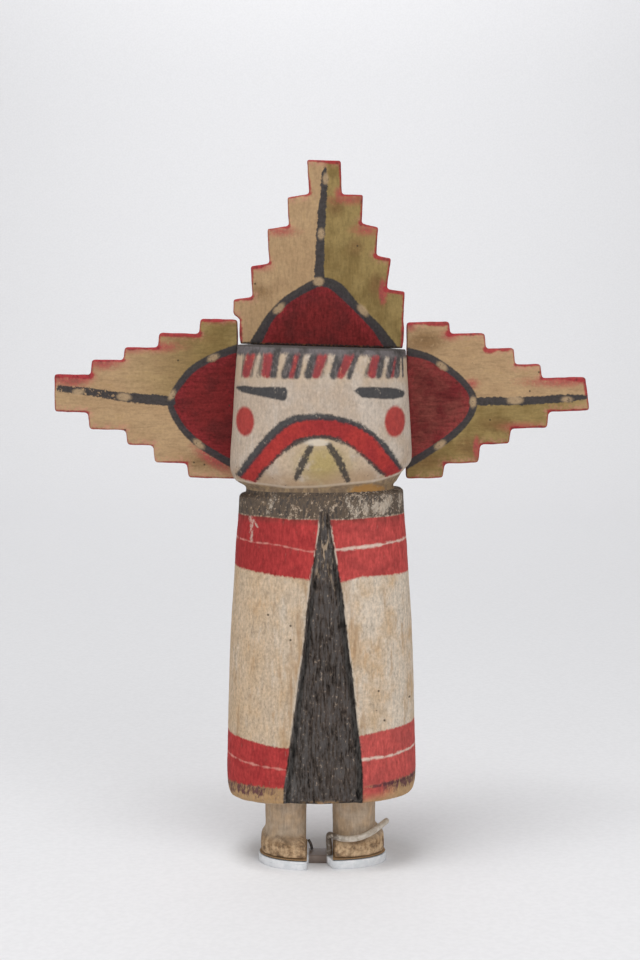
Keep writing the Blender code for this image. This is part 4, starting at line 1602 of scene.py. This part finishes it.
        mix.coat(Paint.PINK, mix.ramp("tread", 3.6, 0.2), mix.ramp(flake, 0.44, 0.62), 0.5)
        red = mix.blend(Paint.EDGE_RED, (Paint.EDGE_RED_DARK, mix.ramp(flake, 0.46, 0.68)))
        red = mix.grained(red, (fray, 0.8))
        smeared = mix.blend(red, (Paint.PINK, 0.18))
        mix.coat(smeared, mix.blot("smears", 0.8, 1.6, flake), mix.ramp(flake, 0.24, 0.5), 0.85)
        width = mix.times("border", mix.plus(mix.times(mix.ramp(patches, 0.36, 0.64), 0.7), 0.4))
        tread = mix.blot(mix.minus("tread", mix.times(width, 1.15)), 0.18, 0.45, fray)
        riser = mix.blot(mix.minus("riser", mix.times(width, 0.7)), 0.2, 0.45, fray)
        mix.coat(red, mix.math("MAXIMUM", tread, riser), 0.9)

        inner = mix.blend(
            self.art.field_paint,
            (Paint.FIELD_RED_DARK, mix.ramp(clouds, 0.4, 0.62)),
            (Paint.EDGE_RED, mix.ramp("field", -7.0, -1.5), mix.ramp(flake, 0.3, 0.6), 0.28),
        )
        mix.coat(mix.grained(inner, (grain, 1.2), (fray, 1.3)), mix.blot("field", 0.1, 0.3, fray))
        black = mix.grained(Paint.BOARD_BLACK, (fray, 1.2), (grain, 0.6))
        mix.coat(black, mix.blot("arc", 0.16, 0.3, fray), 0.97)
        wear = self.art.line_wear
        whole = mix.plus(mix.ramp(flake, wear, wear + 0.08), mix.ramp(off_axis, 80.0, 66.0), clamp=True)
        mix.coat(black, mix.blot("line", 0.5, 0.25, flake), whole, 0.97)
        dab = mix.grained(Paint.SPOT_TAN, (fray, 1.0))
        mix.coat(dab, mix.blot("spots", 0.35, 0.5, fray), mix.ramp(flake, 0.24, 0.44), 0.88)
        mix.coat(Paint.SPECK, mix.specks(self.art.specks, 0.5), mix.ramp("field", 40.0, 39.0), 0.8)

        # Painted shade: a dark line where the board meets the head, along the top board's foot and the side
        # boards' inner ends.
        joint_shade = mix.blend(Paint.SHADE_BLACK, (Paint.SOIL_AND_SHADE_BROWN, mix.ramp(fray, 0.5, 0.66)))
        if self.upright:
            contact_shade = mix.blot("foot", 0.3, 0.3, fray, grow=0.6)
        else:
            contact_shade = mix.ramp(off_axis, 30.9, 30.4)
        mix.coat(joint_shade, contact_shade, 0.85)
        mix.coat(red, mix.ramp("rim", 0.35, 0.75), mix.plus(mix.ramp(flake, 0.34, 0.5), 0.4, clamp=True))
        relief = mix.plus(mix.times(grain, 0.8), mix.times(fray, 0.3))
        return mix.finish(mix.plus(mix.times(flake, 0.2), 0.68), relief, depth=0.06)

    def build(self) -> None:
        """Saws and paints the board."""
        skin = self.saw()
        self.paint_on(skin)
        skin.dress(self.paint())
        skin.place("board_paint")


@dataclass
class Stand:
    """The small metal stand: its plate, the felts under the soles, and the rods that hold the ankles.

    Attributes:
        edge_round: Width of the plate's broken edges.
        felt_round: Width of the felts' rounded edges.
        rod_levels: How many times the rods are subdivided.
        rod_swell: How far a rod is let out first, as the rounding draws it in.
        sleeve_swell: The same for the sleeve.
        shade_over: Edges of the plate sharper than this many degrees are shaded sharp.
    """

    edge_round: float = 0.18
    felt_round: float = 0.1
    rod_levels: int = 2
    rod_swell: float = 0.05
    sleeve_swell: float = 0.22
    shade_over: float = 40.0

    def bevelled(self, name: str, node: str, offset: float) -> Skin:
        """A copy of a flat piece with its edges broken.

        Args:
            name: Name of the new piece.
            node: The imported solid.
            offset: Width of the broken edges in millimetres.

        Returns:
            The skin, with its mesh on an object.
        """
        skin = Skin(name, node)
        join_flat(skin.bm)
        level = [edge for edge in skin.bm.edges if abs(edge.verts[0].co.z - edge.verts[1].co.z) < WELD]
        skin.bevel([edge for edge in level if is_rim(edge)], offset, segments=3)
        skin.to_object()
        return skin

    def plate_metal(self) -> bpy.types.Material:
        """Sawn aluminium: bright brushed rim, duller top, and a dark bridge between the feet, partly painted
        shade.
        """
        mix = Recipe("plate_metal", Paint.PLATE_BRIGHT)
        brushed = mix.noise(0.25, (12, 12, 1), seed=101)
        clouds = mix.noise(3, seed=103)
        mix.coat(Paint.PLATE_DULL, mix.ramp(clouds, 0.35, 0.65))
        mix.coat(Paint.PLATE_SCRATCH, mix.ramp(brushed, 0.56, 0.72), 0.35)
        # The bridge between the feet is painted dark: partly its own finish, partly painted shade under the
        # figure.
        bridge = mix.grained(Paint.BRIDGE_FINISH_AND_SHADE, (clouds, 0.6))
        mix.coat(bridge, mix.ramp("X", -5.2, -4.6), mix.ramp("X", 2.2, 1.4), 0.9)
        mix.shader.inputs["Metallic"].default_value = 0.15
        return mix.finish(mix.plus(mix.times(brushed, 0.25), 0.35), brushed, depth=0.02, specular=0.5)

    def felt(self) -> bpy.types.Material:
        """Thin black felt with loose fibres and a brown line under the sole."""
        mix = Recipe("dark_felt", Paint.FELT_BLACK)
        fuzz = mix.noise(0.3, seed=111, detail=4, roughness=0.7)
        mix.coat(Paint.FELT_BROWN, mix.ramp(fuzz, 0.4, 0.7))
        low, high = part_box("felt_left")
        sole = mix.ramp("Z", (0.5 * low.z + 0.5 * high.z) / MM, (0.35 * low.z + 0.65 * high.z) / MM)
        mix.coat(mix.grained(Paint.SOLE_BROWN, (fuzz, 1.0)), sole, 0.85)
        return mix.finish(0.95, fuzz, depth=0.08, specular=0.1)

    def rod_metal(self) -> bpy.types.Material:
        """Dark oxidised rod."""
        mix = Recipe("rod_metal", Paint.ROD_DARK)
        drawn = mix.noise(0.3, seed=121)
        mix.coat(Paint.ROD_PALE, mix.ramp(drawn, 0.4, 0.66))
        mix.shader.inputs["Metallic"].default_value = 0.8
        return mix.finish(mix.plus(mix.times(drawn, 0.3), 0.35), drawn, depth=0.02, specular=0.5)

    def sleeve(self) -> bpy.types.Material:
        """Milky clear tubing with a dark core."""
        mix = Recipe("milky_tubing", Paint.TUBE_PALE)
        cloud = mix.noise(1.5, seed=131)
        mix.coat(Paint.TUBE_DARK, mix.ramp(cloud, 0.35, 0.65))
        mix.coat(Paint.SLEEVE_DARK, mix.ramp("X", 9.0, 4.0), mix.ramp(cloud, 0.3, 0.5), 0.85)
        mix.shader.inputs["Transmission Weight"].default_value = 0.25
        mix.shader.inputs["IOR"].default_value = 1.45
        return mix.finish(mix.plus(mix.times(cloud, 0.2), 0.25), cloud, depth=0.02, specular=0.5)

    def rod(self, node: str, name: str, slot: str, material: bpy.types.Material, swell: float) -> None:
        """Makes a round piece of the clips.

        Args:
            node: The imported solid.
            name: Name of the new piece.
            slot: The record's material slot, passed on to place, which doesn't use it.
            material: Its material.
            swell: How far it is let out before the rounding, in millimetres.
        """
        skin = Skin(name, node)
        skin.join_faces(40, 60)
        skin.crease(60)
        low, high = (np.array(corner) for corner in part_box(node))
        for vert in skin.bm.verts:
            vert.co = np.clip(np.array(vert.co + vert.normal * swell * MM), low, high)
        skin.to_object()
        rounder = skin.body.modifiers.new("round", "SUBSURF")
        rounder.levels = rounder.render_levels = self.rod_levels
        skin.dress(material)
        skin.place(slot)

    def build(self) -> None:
        """Makes the plate, felts, rods and sleeve."""
        plate = self.bevelled("foot_plate", "stand_plate", self.edge_round)
        plate.dress(self.plate_metal())
        plate.body.data.set_sharp_from_angle(angle=math.radians(self.shade_over))
        plate.place("stand_metal")

        felt = self.felt()
        for side in Side:
            pad = self.bevelled(f"felt_pad_{side.name.lower()}", f"felt_{side.name.lower()}", self.felt_round)
            pad.dress(felt)
            piece = pad.place("felt")

        metal = self.rod_metal()
        self.rod("ankle_clip_left", "left_clip_rod", "clip_metal", metal, self.rod_swell)
        self.rod("ankle_clip_right", "right_clip_rod", "clip_metal", metal, self.rod_swell)
        self.rod("clip_sleeve_right", "right_clip_sleeve", "clip_sleeve", self.sleeve(), self.sleeve_swell)


@dataclass
class Studio:
    """Pale paper sweep, soft lights and the camera, set as for the photograph, in metres and degrees."""

    camera_place: tuple[float, float, float] = (-0.00077, -0.571, 0.199)
    camera_pitch: float = 84.0
    lens: float = 60.0
    sensor: float = 36.0
    half_width: float = 2.2
    front: float = -1.4
    back: float = 1.0
    bend: float = 0.5
    bend_steps: int = 12
    height: float = 2.4
    air_light: float = 0.32

    def sweep(self) -> None:
        """Floor that turns up into a backdrop, in one sheet."""
        bm = bmesh.new()
        line = [bm.verts.new((-self.half_width, self.front, 0))]
        for step in range(self.bend_steps + 1):
            angle = math.pi / 2 * step / self.bend_steps
            y = self.back + self.bend * math.sin(angle)
            z = self.bend * (1 - math.cos(angle))
            line.append(bm.verts.new((-self.half_width, y, z)))
        line.append(bm.verts.new((-self.half_width, self.back + self.bend, self.height)))
        edges = [bm.edges.new(pair) for pair in zip(line, line[1:])]
        made = bmesh.ops.extrude_edge_only(bm, edges=edges)
        moved = [item for item in made["geom"] if isinstance(item, bmesh.types.BMVert)]
        bmesh.ops.translate(bm, verts=moved, vec=(2 * self.half_width, 0, 0))
        bmesh.ops.recalc_face_normals(bm, faces=bm.faces)
        mesh = bpy.data.meshes.new("paper_sweep")
        bm.to_mesh(mesh)
        bm.free()
        mesh.shade_smooth()
        paper = Recipe("pale_paper", Paint.PAPER)
        paper.coat(Paint.PAPER_PALE, paper.ramp(paper.noise(2.0, seed=141), 0.3, 0.7))
        mesh.materials.append(paper.finish(0.95, specular=0.1))
        sheet = bpy.data.objects.new("paper_sweep", mesh)
        bpy.context.scene.collection.objects.link(sheet)

    def softbox(
        self,
        name: str,
        place: tuple[float, float, float],
        size: float,
        power: float,
        aim: tuple[float, float, float] = (0.0, 0.0, 0.12),
    ) -> None:
        """Large square light.

        Args:
            name: Name of the light.
            place: Where it hangs.
            size: Length of its side.
            power: Its power in watts.
            aim: Where it points, by default the middle of the doll.
        """
        lamp = bpy.data.lights.new(name, "AREA")
        lamp.shape = "SQUARE"
        lamp.size = size
        lamp.energy = power
        made = bpy.data.objects.new(name, lamp)
        made.location = place
        made.rotation_euler = (Vector(aim) - Vector(place)).to_track_quat("-Z", "Y").to_euler()
        bpy.context.scene.collection.objects.link(made)

    def build(self) -> None:
        """Sets up the sweep, lights, world and camera."""
        self.sweep()
        self.softbox("top", (-0.25, -0.3, 1.6), 0.7, 14.0)
        self.softbox("key", (0.6, -1.0, 0.7), 1.0, 6.0)
        self.softbox("fill", (-0.9, -0.9, 0.5), 1.0, 2.5)
        self.softbox("backdrop", (0.0, 0.95, 1.15), 0.8, 4.3, aim=(0.0, 1.6, 0.7))
        world = bpy.data.worlds.new("studio_air")
        world.use_nodes = True
        air = world.node_tree.nodes["Background"]
        air.inputs["Color"].default_value = (1.0, 1.0, 1.0, 1.0)
        air.inputs["Strength"].default_value = self.air_light
        bpy.context.scene.world = world
        lens = bpy.data.cameras.new("camera")
        lens.lens = self.lens
        lens.sensor_fit = "VERTICAL"
        lens.sensor_height = self.sensor
        lens.clip_start = 0.01
        camera = bpy.data.objects.new("camera", lens)
        camera.location = self.camera_place
        camera.rotation_euler = (math.radians(self.camera_pitch), 0, 0)
        bpy.context.scene.collection.objects.link(camera)
        bpy.context.scene.camera = camera
        bpy.context.scene.view_settings.view_transform = "Standard"


def main() -> None:
    """Builds the pieces in order, from the figure to the studio."""
    logging.basicConfig(level=logging.INFO, format="%(name)s: %(message)s")
    Figure().build()
    HeaddressBoard("tableta_left", LEFT_ART, corner_round=1.0).build()
    HeaddressBoard("tableta_right", RIGHT_ART, corner_round=1.0).build()
    HeaddressBoard("tableta_top", TOP_ART, corner_round=0.6, upright=True).build()
    Stand().build()
    Studio().build()


if __name__ == "__main__":
    main()
